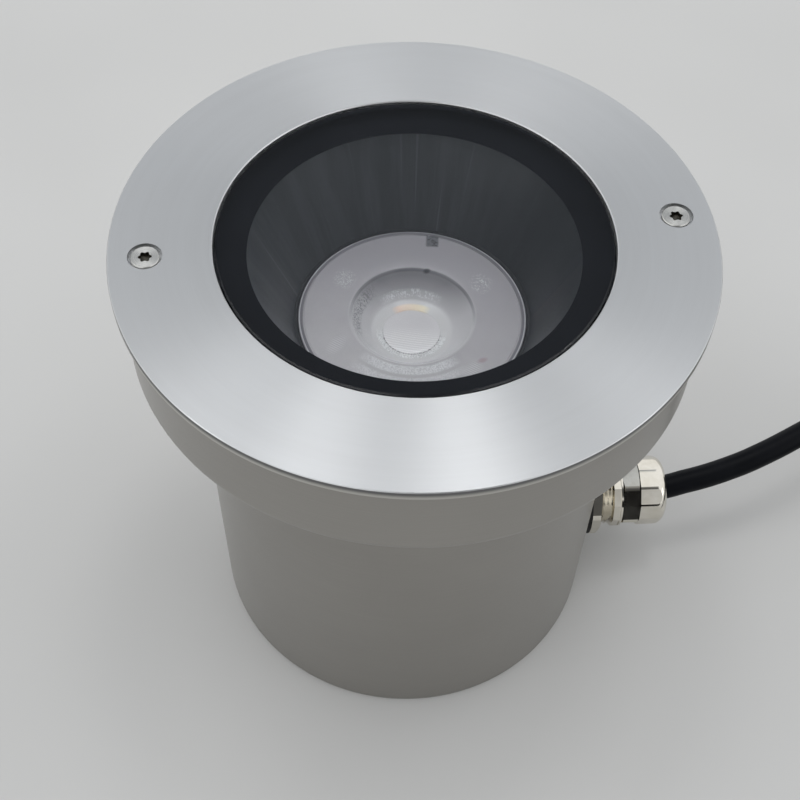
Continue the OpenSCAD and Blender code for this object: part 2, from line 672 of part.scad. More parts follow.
block_side_gap = 10.5;
block_wall_gap = 10.7;
block_y = -driver_w / 2 - block_side_gap - block_w / 2;
block_x = sqrt(pow(can_in_r, 2) - pow(block_y - block_w / 2, 2)) - block_wall_gap - block_l / 2;
block_z = can_floor_t;
way_count = 3;
way_pitch = block_w / way_count;
way_hole_r = core_d / 2 + 2 * fit_gap;
way_z = block_z + block_h * 4 / 9;
clamp_r = 1.7;
function way_y(k) = block_y + (k - 1) * way_pitch;
module terminal_block() color(WHITE) difference() {
    translate([block_x - block_l / 2, block_y - block_w / 2, block_z]) cube([block_l, block_w, block_h]);
    for (k = [0 : way_count - 1], s = [-1, 1]) {
        translate([block_x + s * block_l / 2, way_y(k), way_z]) rotate([0, 90, 0])
            translate([0, 0, -way_depth]) cylinder(r = way_hole_r, h = 2 * way_depth, $fn = 32);
        translate([block_x + s * block_l / 4, way_y(k), block_z + block_h * 3 / 4])
            cylinder(r = clamp_r + fit_gap, h = block_h, $fn = 32);
    }
}
way_depth = 4;
module terminal_screws() color(BRASS) for (k = [0 : way_count - 1], s = [-1, 1])
    translate([block_x + s * block_l / 4, way_y(k), block_z + block_h * 3 / 4])
        difference() {
            cylinder(r = clamp_r, h = block_h / 5, $fn = 32);
            translate([-clamp_r - cut, -edge_bevel / 2, block_h / 8]) cube([2 * (clamp_r + cut), edge_bevel, block_h]);
        }

// Earth connection on its own boss

earth_wall_gap = 17.3;
earth_turn = 37;
earth_x = (can_in_r - earth_wall_gap) * cos(earth_turn);
earth_y = (can_in_r - earth_wall_gap) * sin(earth_turn);
earth_screw_r = 2;
tag_t = 0.8;
tag_r = 4;
tag_tail = 9;
tag_w = 3;
tag_z = can_floor_t + boss_t;
tag_turn = 35;
module earth_tag() color(BRASS) translate([earth_x, earth_y, tag_z]) rotate(tag_turn) difference() {
    union() {
        cylinder(r = tag_r, h = tag_t, $fn = 48);
        translate([0, -tag_w / 2, 0]) cube([tag_tail, tag_w, tag_t]);
    }
    translate([0, 0, -cut]) cylinder(r = earth_screw_r + seam_gap, h = tag_t + 2 * cut, $fn = 32);
}
module earth_screw() color(BRASS) translate([earth_x, earth_y, tag_z + tag_t])
    screw(earth_screw_r, tag_t + boss_t - slip_gap, 2 * earth_screw_r * head_share,
        2 * earth_screw_r * low_head_share, 2 * earth_screw_r * socket_share);

// Cable gland, from the can outwards

locknut_d0 = gland_flat + gland_gasket_t;
thread_d0 = locknut_d0 + locknut_t;
gcollar_d0 = thread_d0 + gland_thread_l;
gbody_d0 = gcollar_d0 + gland_collar_t;
gnut_d0 = gbody_d0 + gland_body_l;
gland_end = gnut_d0 + gland_nut_l;
thread_cut_share = 0.5;
thread_depth = gland_pitch * thread_cut_share;
gland_tail_in = 3;
gland_inner_end = gland_flat - gland_pad_in - gland_tail_in;
gflange_t = 0.7;
body_spigot_r = 9.9;
body_bore_r = 5.6;
nut_spigot_r = 10.4;
nut_spigot_l = 5.5;
seal_r = 7.9;
seal_in = 2.7;
lip_bore_r = 7;
nut_lip_t = 3.2;
seal_short = 3.3;
dome_r = 4.2;
nut_sides = 12;
// How much of a hexagon's corner is turned away
corner_share = 0.965;
function corner_r(af) = af / 2 / cos(30);

module gland_gasket() color(RUBBER) on_gland(gland_flat) difference() {
    cylinder(r = gland_gasket_d / 2, h = gland_gasket_t, $fn = 96);
    translate([0, 0, -cut]) cylinder(r = gland_shank_r + fit_gap, h = gland_gasket_t + 2 * cut, $fn = 96);
}

locknut_turn = 11;
module gland_locknut() color(NICKEL) on_gland(locknut_d0) difference() {
    intersection() {
        rotate(locknut_turn) cylinder(r = corner_r(locknut_af), h = locknut_t, $fn = 6);
        rotate_extrude($fn = 96) polygon([
            [0, 0], [corner_r(locknut_af) * corner_share, 0],
            [corner_r(locknut_af) * corner_share, locknut_t - 2 * edge_bevel],
            [locknut_af / 2 - edge_bevel, locknut_t], [0, locknut_t]
        ]);
    }
    translate([0, 0, -cut]) cylinder(r = gland_shank_r + fit_gap, h = locknut_t + 2 * cut);
}

// Thread that shows: one sharp crest for each pitch
thread_turns = floor(gland_thread_l / gland_pitch);
module gland_adapter() color(NICKEL) on_gland(0) difference() {
    union() {
        translate([0, 0, gland_inner_end])
            cylinder(r = gland_shank_r, h = thread_d0 - gland_inner_end);
        rotate_extrude() polygon(concat(
            [[0, thread_d0 - cut]],
            [for (k = [0 : thread_turns - 1]) each [
                [gland_shank_r - thread_depth, thread_d0 + gland_pitch * k],
                [gland_shank_r, thread_d0 + gland_pitch * (k + 1 / 2)]]],
            [[gland_shank_r - thread_depth, thread_d0 + gland_pitch * thread_turns],
             [gland_shank_r - thread_depth, gcollar_d0 + edge_bevel], [0, gcollar_d0 + edge_bevel]]
        ));
        translate([0, 0, gcollar_d0]) cylinder(r = gland_collar_d / 2, h = gland_collar_t - gflange_t, $fn = nut_sides);
        translate([0, 0, gbody_d0 - gflange_t]) cylinder(r = gland_collar_d / 2, h = gflange_t);
    }
    translate([0, 0, gland_inner_end - cut]) cylinder(r = body_bore_r, h = gland_end);
    translate([0, 0, gland_flat]) cylinder(r = body_spigot_r + fit_gap, h = gland_end);
}

module gland_body() color(NICKEL) on_gland(0) difference() {
    union() {
        translate([0, 0, gland_flat + fit_gap]) cylinder(r = body_spigot_r, h = gbody_d0 - gland_flat);
        intersection() {
            translate([0, 0, gbody_d0]) rotate(30) cylinder(r = corner_r(gland_body_af), h = gland_body_l, $fn = 6);
            translate([0, 0, gbody_d0]) rotate_extrude() polygon([
                [0, 0], [gland_body_af / 2, 0], [corner_r(gland_body_af) * corner_share, edge_bevel],
                [corner_r(gland_body_af) * corner_share, gland_body_l - edge_bevel],
                [gland_body_af / 2, gland_body_l], [0, gland_body_l]
            ]);
        }
        translate([0, 0, gnut_d0 - cut]) cylinder(r = nut_spigot_r, h = nut_spigot_l + cut);
    }
    translate([0, 0, gland_flat - cut]) cylinder(r = body_bore_r, h = gland_end);
    translate([0, 0, gnut_d0 - seal_in]) cylinder(r = seal_r + fit_gap, h = gland_end);
}

seal_end = gland_end - nut_lip_t - seal_short;
seal_bore_r = cable_d / 2 + fit_gap;
module gland_seal() color(RUBBER) on_gland(0) difference() {
    rotate_extrude() polygon([
        [0, gnut_d0 - seal_in + fit_gap], [seal_r, gnut_d0 - seal_in + fit_gap],
        [seal_r, seal_end - edge_bevel], [seal_r - edge_bevel, seal_end], [0, seal_end]
    ]);
    translate([0, 0, gnut_d0 - seal_in - cut]) cylinder(r = seal_bore_r, h = gland_end);
}

// Domed nut: twelve flats that run out into a rounded end
nut_gap = 0.2;
nut_cavity_r = nut_spigot_r + 2 * fit_gap;
module gland_nut() color(NICKEL) on_gland(gnut_d0 + nut_gap) difference() {
    length = gland_nut_l - nut_gap;
    intersection() {
        cylinder(r = gland_nut_d / 2, h = length, $fn = nut_sides);
        rotate_extrude() union() {
            square([gland_nut_d / 2 - edge_bevel / 4, length - dome_r]);
            square([gland_nut_d / 2 - edge_bevel / 4 - dome_r, length]);
            translate([gland_nut_d / 2 - edge_bevel / 4 - dome_r, length - dome_r]) circle(r = dome_r, $fn = 48);
        }
    }
    translate([0, 0, -cut]) cylinder(r = nut_cavity_r, h = nut_spigot_l + seam_gap + cut);
    translate([0, 0, -cut]) cylinder(r = seal_r + slip_gap, h = length - nut_lip_t + cut);
    translate([0, 0, -cut]) cylinder(r = lip_bore_r, h = length + 2 * cut);
}

// Supply cable: through the gland, out over the ground and into a coil

cable_r = cable_d / 2;
cable_start = gland_inner_end - sheath_in;
in_gland_shares = [0, 0.25, 0.5, 0.75, 1];
// Points of the free route, from the mouth of the gland to the floor beside the coil
cable_route = [
    [96.2, 8.5, 29.5], [99.1, 9.2, 29.8], [101.7, 9.8, 30], [104.5, 10.6, 30.3], [107.3, 11.5, 30.6],
    [113.9, 13.4, 31.2], [119.9, 15.4, 31.8], [126, 17.7, 32.5], [132, 20.1, 33.4], [138, 22.9, 34.4],
    [146, 27.1, 35.5], [155, 32.4, 36.5], [164, 38, 36.8], [173, 43.4, 36], [182, 48.4, 34.1],
    [191, 52.9, 31.1], [200, 56.9, 27.2], [209, 60.4, 22.8], [218, 63.4, 18.3], [226, 65.6, 14.5],
    [234, 67.4, 11], [241, 68.7, 8.3], [246, 69.5, 6.7]
];
coil_x = 262;
coil_y = 15;
turn_gap = 0.5;
turn_pitch = cable_d + turn_gap;
tie_floor_gap = 0.1;
coil_lift = tie_t + tie_floor_gap;
coil_r_out = coil_d / 2 + turn_pitch / 2;
coil_r_in = coil_d / 2 - turn_pitch / 2;
coil_low = coil_lift + cable_r;
coil_high = coil_low + turn_pitch;
layer_turns = 1;
climb_turns = 0.5;
coil_turns = 2 * layer_turns + climb_turns;
coil_steps = 24;

// The coil winds clockwise: inwards on the ground, up a layer in half a turn, outwards again
function climbed(t) = max(0, min(1, (t - layer_turns) / climb_turns));
function coil_r_at(t) =
    t <= layer_turns ? coil_r_out - turn_pitch * t / layer_turns :
    t <= layer_turns + climb_turns ? coil_r_in - turn_pitch * climb_turns / PI * sin(180 * climbed(t)) :
    coil_r_in + turn_pitch * (t - layer_turns - climb_turns) / layer_turns;
function coil_z_at(t) = let (c = climbed(t)) coil_low + turn_pitch * c * c * (3 - 2 * c);
function coil_point(t) = [coil_x + coil_r_at(t) * sin(360 * t), coil_y + coil_r_at(t) * cos(360 * t), coil_z_at(t)];
coil_in = coil_point(0) - [cable_d, 0, 0];
coil_out = coil_point(coil_turns) - [cable_d, 0, 0];
coil_path = concat([coil_in],
    [for (i = [0 : coil_turns * coil_steps]) coil_point(i / coil_steps)], [coil_out]);
cable_path = concat(
    [for (s = in_gland_shares) gland_point(cable_start + (seal_end - cable_start) * s)],
    cable_route, [coil_in - [cable_r / 2, 0, 0], coil_in]);

// Least gap of the coil to itself, between centres half a turn or more apart
coil_gap = min([for (i = [0 : len(coil_path) - 1], j = [i + coil_steps / 2 : len(coil_path) - 1])
    norm(coil_path[i] - coil_path[j])]) - cable_d;
echo(least_gap_of_coil = coil_gap);
echo(length_of_stretch = path_length(cable_path), length_of_coil = path_length(coil_path),
    length_of_tail = path_length(tail_path));
function path_length(p) = len(p) < 2 ? 0 : let (s = [for (i = [1 : len(p) - 1]) norm(p[i] - p[i - 1])])
    s * [for (i = s) 1];

tail_route = [
    [243, -40.1, 15.2], [233, -41, 13.2], [224, -43, 10.2], [215, -46.4, 7.2], [207, -51, 5.3], [200, -56.5, 4.7],
    [194, -62, 4.7]
];
tail_path = concat([coil_out, coil_out - [cable_r / 2, 0, 0]], tail_route);

module cable() color(RUBBER) swept(cable_path, cable_r);
module cable_coil() color(RUBBER) swept(coil_path, cable_r, 6);
module cable_tail() color(RUBBER) swept(tail_path, cable_r);

// Strap round the two strands at the coil's near side, with its locking head on the outside
tie_gap = 0.4;
tie_place_share = 0.75;
tie_head_w = 7;
tie_head_t = 5;
tie_mid_r = coil_r_at(tie_place_share);
tie_in_w = cable_d + 2 * tie_gap;
tie_in_h = cable_d + turn_pitch + tie_gap;
module rounded_slot(w, h, t, r) {
    rotate([90, 0, 0]) linear_extrude(height = t, center = true) union() {
        translate([-w / 2, r]) square([w, h - 2 * r]);
        translate([r - w / 2, 0]) square([w - 2 * r, h]);
        for (x = [r - w / 2, w / 2 - r], y = [r, h - r]) translate([x, y]) circle(r = r, $fn = 32);
    }
}
module coil_tie() color(BLACK) translate([coil_x - tie_mid_r, coil_y, 0]) {
    difference() {
        rounded_slot(tie_in_w + 2 * tie_t, tie_in_h + 2 * tie_t, tie_w, tie_in_w / 2 + tie_t / 2);
        translate([0, 0, tie_t]) rounded_slot(tie_in_w, tie_in_h, tie_w + 2 * cut, tie_in_w / 2 - tie_t / 2);
    }
    translate([-tie_in_w / 2 - tie_t - tie_head_t + tie_t / 2, -tie_head_w / 2, tie_in_h / 2])
        cube([tie_head_t, tie_head_w, tie_head_w]);
}

// Stripped end: three cores fan out of the sheath, each with a bare copper tip
tail_end = tail_route[len(tail_route) - 1];
core_r = core_d / 2;
core_ring_share = 1.22;
core_ring_r = core_r * core_ring_share;
end_heading = unit([tail_end[0] - tail_route[len(tail_route) - 2][0],
    tail_end[1] - tail_route[len(tail_route) - 2][1], 0]);
end_side = [-end_heading[1], end_heading[0], 0];
core_side_shares = [-0.87, 0, 0.87];
core_rise_shares = [-0.5, 1, -0.5];
core_step_shares = [0, 0.06, 0.2, 0.36, 0.52, 0.68, 0.84, 0.94, 1];
core_spread = 3.4;
core_l = 24;
tip_l = 7;
tip_r = 0.8;
core_floor_gap = 0.1;
core_rest_z = core_r + core_floor_gap;
// Each core leaves the sheath and ends level, and in between it falls and spreads at the same rate
function eased(f) = f * f * (3 - 2 * f);
function end_core_path(k) = let (s = core_side_shares[k], u = core_rise_shares[k]) [
    for (f = core_step_shares) let (g = eased(f))
        [tail_end[0], tail_end[1], 0] + end_heading * (seam_gap / 2 + core_l * f)
        + end_side * s * (core_ring_r + core_spread * g)
        + [0, 0, (tail_end[2] + u * core_ring_r) * (1 - g) + core_rest_z * g]
];
function tip_path(k) = let (p = end_core_path(k), e = p[len(p) - 1] + end_heading * fit_gap) [e, e + end_heading * tip_l];
module end_core(k, tint) color(tint) swept(end_core_path(k), core_r, 8);
module end_core_live() end_core(0, BROWN);
module end_core_neutral() end_core(1, BLUE);
module end_core_earth() end_core(2, GREEN);
module end_core_tips() color(COPPER) for (k = [0 : 2]) swept(tip_path(k), tip_r, 8);

// Wires inside the can, from the cable's cut sheath to the block, the tag, the driver and the board
led_lead_r = 1.2;
sheath_end = gland_point(cable_start);
block_in_x = block_x + block_l / 2;
block_out_x = block_x - block_l / 2;
bend_a = 8;
bend_b = 6;
core_pitch_share = 1.3;
core_pitch = core_d * core_pitch_share;
gland_heading = [cos(gland_turn), sin(gland_turn), 0];
gland_side = [-sin(gland_turn), cos(gland_turn), 0];
// Where core k leaves the sheath, and the end of its first, straight run
function core_start(k) = sheath_end - gland_heading * seam_gap / 2
    + gland_side * core_side_shares[k] * core_ring_r + [0, 0, core_rise_shares[k] * core_ring_r];
function core_straight(k) = core_start(k) - gland_heading * core_d;
// Way k of the block: the live core runs outside the neutral one and turns in further on
function core_turn_x(k) = sheath_end[0] - bend_b - k * core_pitch;
function core_route(k) = [
    core_straight(k),
    [core_turn_x(k) + bend_b / 6, sheath_end[1] - bend_b / 2 + (k - 1) * core_pitch / 2,
        sheath_end[2] - bend_b / 4 + k * core_d],
    [core_turn_x(k), (sheath_end[1] + way_y(k)) / 2, (sheath_end[2] + way_z) / 2],
    [core_turn_x(k) - bend_b / 4, way_y(k) + bend_b, way_z + bend_b / 2],
    [(core_turn_x(k) + block_in_x) / 2, way_y(k) + bend_b / 6, way_z],
    [block_in_x, way_y(k), way_z],
    [block_in_x - way_depth + seam_gap, way_y(k), way_z]
];
module core_live() color(BROWN) swept(concat([core_start(0)], curved(core_route(0))), core_r, 8);
module core_neutral() color(BLUE) swept(concat([core_start(1)], curved(core_route(1))), core_r, 8);
tag_end = [earth_x + tag_tail * cos(tag_turn), earth_y + tag_tail * sin(tag_turn), tag_z + tag_t + core_r];
module core_earth() color(GREEN) swept(concat([core_start(2)], curved([
    core_straight(2),
    sheath_end + [-bend_b, bend_b, -bend_b / 4],
    [(sheath_end[0] + tag_end[0]) / 2, (sheath_end[1] + tag_end[1]) / 2 + bend_b / 2, (sheath_end[2] + tag_end[2]) / 2],
    tag_end + [bend_b / 2, -bend_b / 4, bend_b / 2],
    tag_end
])), core_r, 8);
driver_port_y = -driver_w / 2;
function driver_lead_route(k) = [
    [block_out_x + way_depth - seam_gap, way_y(k), way_z],
    [block_out_x, way_y(k), way_z],
    [block_out_x - bend_b - way_pitch * (2 - k), way_y(k) + bend_b / 4, way_z + bend_b / 6],
    [block_out_x - bend_b - bend_a / 2 - way_pitch * (2 - k), (way_y(k) + driver_port_y) / 2, way_z + bend_b / 3],
    [block_out_x - bend_b - bend_a / 2 - way_pitch * (2 - k), driver_port_y - led_lead_r, way_z + bend_b / 2]
];
module driver_lead(k, tint) color(tint) swept(concat(curved(driver_lead_route(k)),
    [[block_out_x - bend_b - bend_a / 2 - way_pitch * (2 - k), driver_port_y - seam_gap / 2, way_z + bend_b / 2]]),
    led_lead_r, 8);
module driver_lead_live() driver_lead(0, BROWN);
module driver_lead_neutral() driver_lead(1, BLUE);
lead_foot = driver_z + driver_h + driver_cover_t / 2 + seam_gap;
board_lead_z = board_z + board_t + led_lead_r;
lead_top_z = board_lead_z + led_lead_r;
function led_lead_route(s) = [
    [-lead_x, s * lead_y, lead_foot], [-lead_x, s * lead_y, sink_z - fin_h],
    [-lead_x, s * lead_y, sink_z - sink_t], [-lead_x, s * lead_y, sink_top - sink_t / 6],
    [-lead_x + led_lead_r, s * lead_y, lead_top_z - led_lead_r / 4],
    [-lead_x + bend_b / 2, s * lead_y, lead_top_z + led_lead_r / 4],
    [-board_w / 2 - led_lead_r, s * lead_y, board_lead_z + led_lead_r / 2],
    [-board_w / 2 + 2 * led_lead_r, s * lead_y, board_lead_z + fit_gap]
];
module led_lead_red() color(RED) swept(curved(led_lead_route(1)), led_lead_r, 8, [0, 1, 0]);
module led_lead_black() color(BLACK) swept(curved(led_lead_route(-1)), led_lead_r, 8, [0, 1, 0]);

trim_ring();
trim_screw_east();
trim_screw_west();
glass();
glass_print();
glass_gasket();
collar();
can();
can_gasket();
seat_ring();
seat_screws();
reflector_cone();
lens();
lens_holder();
holder_screws();
led_board();
led_emitter();
thermal_pad();
board_screws();
heat_sink();
sink_screws();
driver_case();
driver_cover();
driver_screws();
terminal_block();
terminal_screws();
earth_tag();
earth_screw();
core_live();
core_neutral();
core_earth();
driver_lead_live();
driver_lead_neutral();
led_lead_red();
led_lead_black();
gland_gasket();
gland_locknut();
gland_adapter();
gland_body();
gland_seal();
gland_nut();
cable();
cable_coil();
coil_tie();
cable_tail();
end_core_live();
end_core_neutral();
end_core_earth();
end_core_tips();
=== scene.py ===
import bpy
import numpy as np
from mathutils import Matrix, Vector


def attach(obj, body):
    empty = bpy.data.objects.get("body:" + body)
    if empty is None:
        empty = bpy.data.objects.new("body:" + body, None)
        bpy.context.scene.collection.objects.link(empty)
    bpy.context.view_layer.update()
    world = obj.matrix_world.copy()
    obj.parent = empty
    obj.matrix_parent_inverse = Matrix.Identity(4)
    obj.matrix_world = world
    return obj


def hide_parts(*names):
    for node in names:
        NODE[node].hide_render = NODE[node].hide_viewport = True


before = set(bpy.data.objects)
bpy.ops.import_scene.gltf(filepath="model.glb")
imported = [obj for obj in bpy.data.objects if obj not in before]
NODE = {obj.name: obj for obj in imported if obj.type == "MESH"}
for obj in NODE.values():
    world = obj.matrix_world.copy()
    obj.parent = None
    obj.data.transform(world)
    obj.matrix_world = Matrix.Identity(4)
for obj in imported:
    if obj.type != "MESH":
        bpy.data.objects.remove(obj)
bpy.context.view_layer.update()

# The light's own places, in metres, as its CAD source has them
RING_TOP = 0.174
RING_OUTSIDE = 0.090
SCREW_TOP = 0.17375
TRIM_SCREW_RADIUS = 0.079
TRIM_SCREW_ANGLE = np.radians(9)
SOCKET_RADIUS = 0.0023
GLAND_ANGLE = np.radians(5)
GLAND_HEIGHT = 0.0295
SEAL_FACE = 0.09295
STUB_START = 0.05005
CABLE_RADIUS = 0.00465
CORE_RADIUS = 0.0014
HAIR = 0.00005  # keeps two faces out of one plane


# ---------------------------------------------------------------- camera

def frame_the_light():
    """A camera on the -Y side, 46 degrees above the ring, aimed at a point of the ring's plane
    and turned a little about its own line of sight."""
    place = Vector((0, -0.26421, 0.44746))
    aim = Vector((-0.00239, -0.06065, RING_TOP))
    sight = (aim - place).normalized()
    level = sight.cross(Vector((0, 0, 1))).normalized()
    roll = np.radians(1.663)
    turn = Matrix.Rotation(roll, 3, -sight)
    right = turn @ level
    up = right.cross(sight)
    camera = bpy.data.objects.new("camera", bpy.data.cameras.new("camera"))
    camera.data.lens = 57.6
    camera.data.sensor_width = 36
    camera.matrix_world = Matrix((right, up, -sight)).transposed().to_4x4()
    camera.location = place
    bpy.context.scene.collection.objects.link(camera)
    bpy.context.scene.camera = camera


frame_the_light()


# ---------------------------------------------------------------- meshes

TURNED_CREASE = 28


def put_mesh(name, points, faces, body, crease=None):
    """A mesh of the given points and faces, turned so that its faces point outwards, riding on a body.
    The test is the closed surface's volume: the sum over its triangles of a . (b x c) / 6. Edges that turn by more
    than the crease angle stay sharp."""
    points = np.asarray(points, float)
    volume = 0.0
    for kind in faces:
        kind = np.asarray(kind)
        for k in range(1, kind.shape[1] - 1):
            a, b, c = points[kind[:, 0]], points[kind[:, k]], points[kind[:, k + 1]]
            volume += np.einsum("ij,ij->", a, np.cross(b, c)) / 6
    rows = [row for kind in faces for row in (kind[:, ::-1] if volume < 0 else kind).tolist()]
    mesh = bpy.data.meshes.new(name)
    mesh.from_pydata(points.tolist(), [], rows)
    mesh.polygons.foreach_set("use_smooth", np.ones(len(mesh.polygons), bool))
    mesh.update()
    if crease:
        mesh.set_sharp_from_angle(angle=np.radians(crease))
    piece = bpy.data.objects.new(name, mesh)
    bpy.context.scene.collection.objects.link(piece)
    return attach(piece, body)


def ring_faces(rings, sides, closed_along=False):
    """Four-sided faces between neighbouring rings of a grid of rings x sides points, each ring closed on itself."""
    i, j = np.meshgrid(np.arange(rings if closed_along else rings - 1), np.arange(sides), indexing="ij")
    a, b = i * sides + j, i * sides + (j + 1) % sides
    c, d = ((i + 1) % rings) * sides + (j + 1) % sides, ((i + 1) % rings) * sides + j
    return np.stack([a, b, c, d], -1).reshape(-1, 4)


def end_faces(rings, sides):
    """Triangles that close both ends of a grid of rings x sides points. They meet in two more points, the middles of
    the first and of the last ring, which follow the grid's own."""
    j = np.arange(sides)
    after = (j + 1) % sides
    last_ring = (rings - 1) * sides
    first = np.stack([np.full(sides, rings * sides), after, j], -1)
    last = np.stack([np.full(sides, rings * sides + 1), last_ring + j, last_ring + after], -1)
    return [first, last]


def turned(name, profile, sides, body, lift=None, hollow=False):
    """A piece turned about the light's axis: step k of its profile at angle a is the point
    (r cos a, r sin a, z + lift(r, a)). A hollow profile closes on itself, and any other starts and ends on the axis."""
    profile = np.asarray(profile, float)
    a = np.linspace(0, 2 * np.pi, sides, endpoint=False)
    rim = profile if hollow else profile[1:-1]
    r, z = rim[:, :1], rim[:, 1:]
    height = z + (lift(r, a) if lift else 0 * a)
    rings = np.stack([r * np.cos(a), r * np.sin(a), height], -1).reshape(-1, 3)
    if hollow:
        return put_mesh(name, rings, [ring_faces(len(rim), sides, True)], body, TURNED_CREASE)
    ends = [[0, 0, profile[0, 1]], [0, 0, profile[-1, 1]]]
    faces = [ring_faces(len(rim), sides), *end_faces(len(rim), sides)]
    return put_mesh(name, np.vstack([rings, ends]), faces, body, TURNED_CREASE)


def smooth_line(points, step):
    """A curve through the points, even in its steps. Between two points it is the Catmull-Rom blend
    0.5 (2b + (c-a)t + (2a-5b+4c-d)t^2 + (3b-a-3c+d)t^3) of the four points around, and the result is
    sampled again at equal lengths."""
    p = np.asarray(points, float)
    p = np.vstack([2 * p[0] - p[1], p, 2 * p[-1] - p[-2]])
    samples = 24
    t = np.linspace(0, 1, samples, endpoint=False)[None, :, None]
    a, b, c, d = (p[k:len(p) - 3 + k, None, :] for k in range(4))
    line = 0.5 * (2 * b + (c - a) * t + (2 * a - 5 * b + 4 * c - d) * t ** 2 + (3 * b - a - 3 * c + d) * t ** 3)
    line = np.vstack([line.reshape(-1, 3), p[-2]])
    run = np.concatenate([[0], np.cumsum(np.linalg.norm(np.diff(line, axis=0), axis=1))])
    even = np.linspace(0, run[-1], int(np.ceil(run[-1] / step)) + 1)
    return np.stack([np.interp(even, run, line[:, k]) for k in range(3)], -1)


def tube(name, line, radius, sides, body, rounding):
    """A round tube along a line that never stands upright. At each point the ring is
    centre + radius (cos a * side + sin a * rise), with side = along x upright and rise = side x along.
    Both ends are rounded off by a quarter circle, which takes the place of the line's nearest points, and closed."""
    line = np.asarray(line, float)
    along = np.gradient(line, axis=0)
    along /= np.linalg.norm(along, axis=1)[:, None]
    side = np.cross(along, [0, 0, 1])
    side /= np.linalg.norm(side, axis=1)[:, None]
    rise = np.cross(side, along)

    quarter = np.radians([90, 70, 45, 20, 0])
    back = rounding * (1 - np.sin(quarter))[:, None]
    inward = rounding * (1 - np.cos(quarter))
    from_end = np.minimum(np.linalg.norm(line - line[0], axis=1), np.linalg.norm(line - line[-1], axis=1))
    clear_of_end = 1.6 * rounding
    kept = from_end > clear_of_end

    def with_ends(head, middle, tail):
        return np.concatenate([head, middle[kept], tail])

    def held(direction):
        """A direction for every ring, the same over each end's quarter circle."""
        count = len(quarter)
        return with_ends(np.repeat(direction[:1], count, 0), direction, np.repeat(direction[-1:], count, 0))

    centres = with_ends(line[0] + along[0] * back, line, line[-1] - along[-1] * back[::-1])
    radii = with_ends(radius - inward, np.full(len(line), radius), radius - inward[::-1])
    a = np.linspace(0, 2 * np.pi, sides, endpoint=False)[None, :, None]
    around = np.cos(a) * held(side)[:, None] + np.sin(a) * held(rise)[:, None]
    rings = centres[:, None] + radii[:, None, None] * around
    points = np.vstack([rings.reshape(-1, 3), centres[0], centres[-1]])
    return put_mesh(name, points, [ring_faces(len(centres), sides), *end_faces(len(centres), sides)], body)


# ---------------------------------------------------------------- supply lead

def toward(angle, reach=1.0):
    """The level vector of a length, at an angle from +X."""
    return (reach * float(np.cos(angle)), reach * float(np.sin(angle)), 0)


def on_gland(reach):
    """The point of the gland's axis at a distance from the light's own axis."""
    reach = np.asarray(reach, float)
    return np.stack([reach * np.cos(GLAND_ANGLE), reach * np.sin(GLAND_ANGLE), np.full_like(reach, GLAND_HEIGHT)], -1)


COIL_CENTRE = np.array([0.262, 0.015])
COIL_STEP = 0.0098
COIL_OUTER = 0.0549
COIL_INNER = COIL_OUTER - COIL_STEP
COIL_LEVEL = 0.00595
COIL_POINTS = 61
ROUTE_STEP = 0.0022
CABLE_SIDES = 32
TAIL_END = np.array([0.194, -0.062, 0.0047])
END_HEADING = np.array([-0.7372, -0.6757, 0])
END_SIDE = np.array([0.6757, -0.7372, 0])


def coil_line(count):
    """Two and a half turns about the coil's centre. The first turn closes in by one cable's step. The next half turn
    dips by a sixth of a step along a half sine and climbs one layer along 3c^2 - 2c^3. The last turn opens out."""
    closed, climbed, opened = 1, 1.5, 2.5
    t = np.linspace(0, opened, count)
    c = np.clip((t - closed) / (climbed - closed), 0, 1)
    closing = COIL_OUTER - COIL_STEP * t
    climbing = COIL_INNER - COIL_STEP * (climbed - closed) / np.pi * np.sin(np.pi * c)
    opening = COIL_INNER + COIL_STEP * (t - climbed)
    radius = np.where(t <= closed, closing, np.where(t <= climbed, climbing, opening))
    return np.stack([COIL_CENTRE[0] + radius * np.sin(2 * np.pi * t),
                     COIL_CENTRE[1] + radius * np.cos(2 * np.pi * t),
                     COIL_LEVEL + COIL_STEP * c * c * (3 - 2 * c)], -1)


def lead_route():
    """Out of the gland's seal, down to the floor beside the light, through the coil and on to the stripped end."""
    way_out = 0.001 * np.array([
        [96.2, 8.5, 29.5], [99.1, 9.2, 29.8], [101.7, 9.8, 30], [104.5, 10.6, 30.3], [107.3, 11.5, 30.6],
        [113.9, 13.4, 31.2], [119.9, 15.4, 31.8], [126, 17.7, 32.5], [132, 20.1, 33.4], [138, 22.9, 34.4],
        [146, 27.1, 35.5], [155, 32.4, 36.5], [164, 38, 36.8], [173, 43.4, 36], [182, 48.4, 34.1],
        [191, 52.9, 31.1], [200, 56.9, 27.2], [209, 60.4, 22.8], [218, 63.4, 18.3], [226, 65.6, 14.5],
        [234, 67.4, 11], [241, 68.7, 8.3], [246, 69.5, 6.7], [250.375, 69.9, 5.95]])
    way_on = 0.001 * np.array([
        [250.375, -39.9, 15.75], [243, -40.1, 15.2], [233, -41, 13.2], [224, -43, 10.2], [215, -46.4, 7.2],
        [207, -51, 5.3], [200, -56.5, 4.7], [194, -62, 4.7]])
    return smooth_line(np.vstack([on_gland([SEAL_FACE]), way_out, coil_line(COIL_POINTS), way_on]), ROUTE_STEP)


route = lead_route()
supply_cable = tube("supply_cable", route, CABLE_RADIUS, CABLE_SIDES, "housing", 0.0004)
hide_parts("cable", "cable_coil", "cable_tail")
stub_line = on_gland(np.linspace(STUB_START, SEAL_FACE - HAIR, 18))
cable_stub = tube("cable_stub", stub_line, CABLE_RADIUS, CABLE_SIDES, "housing", 0.0003)
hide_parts("cable")


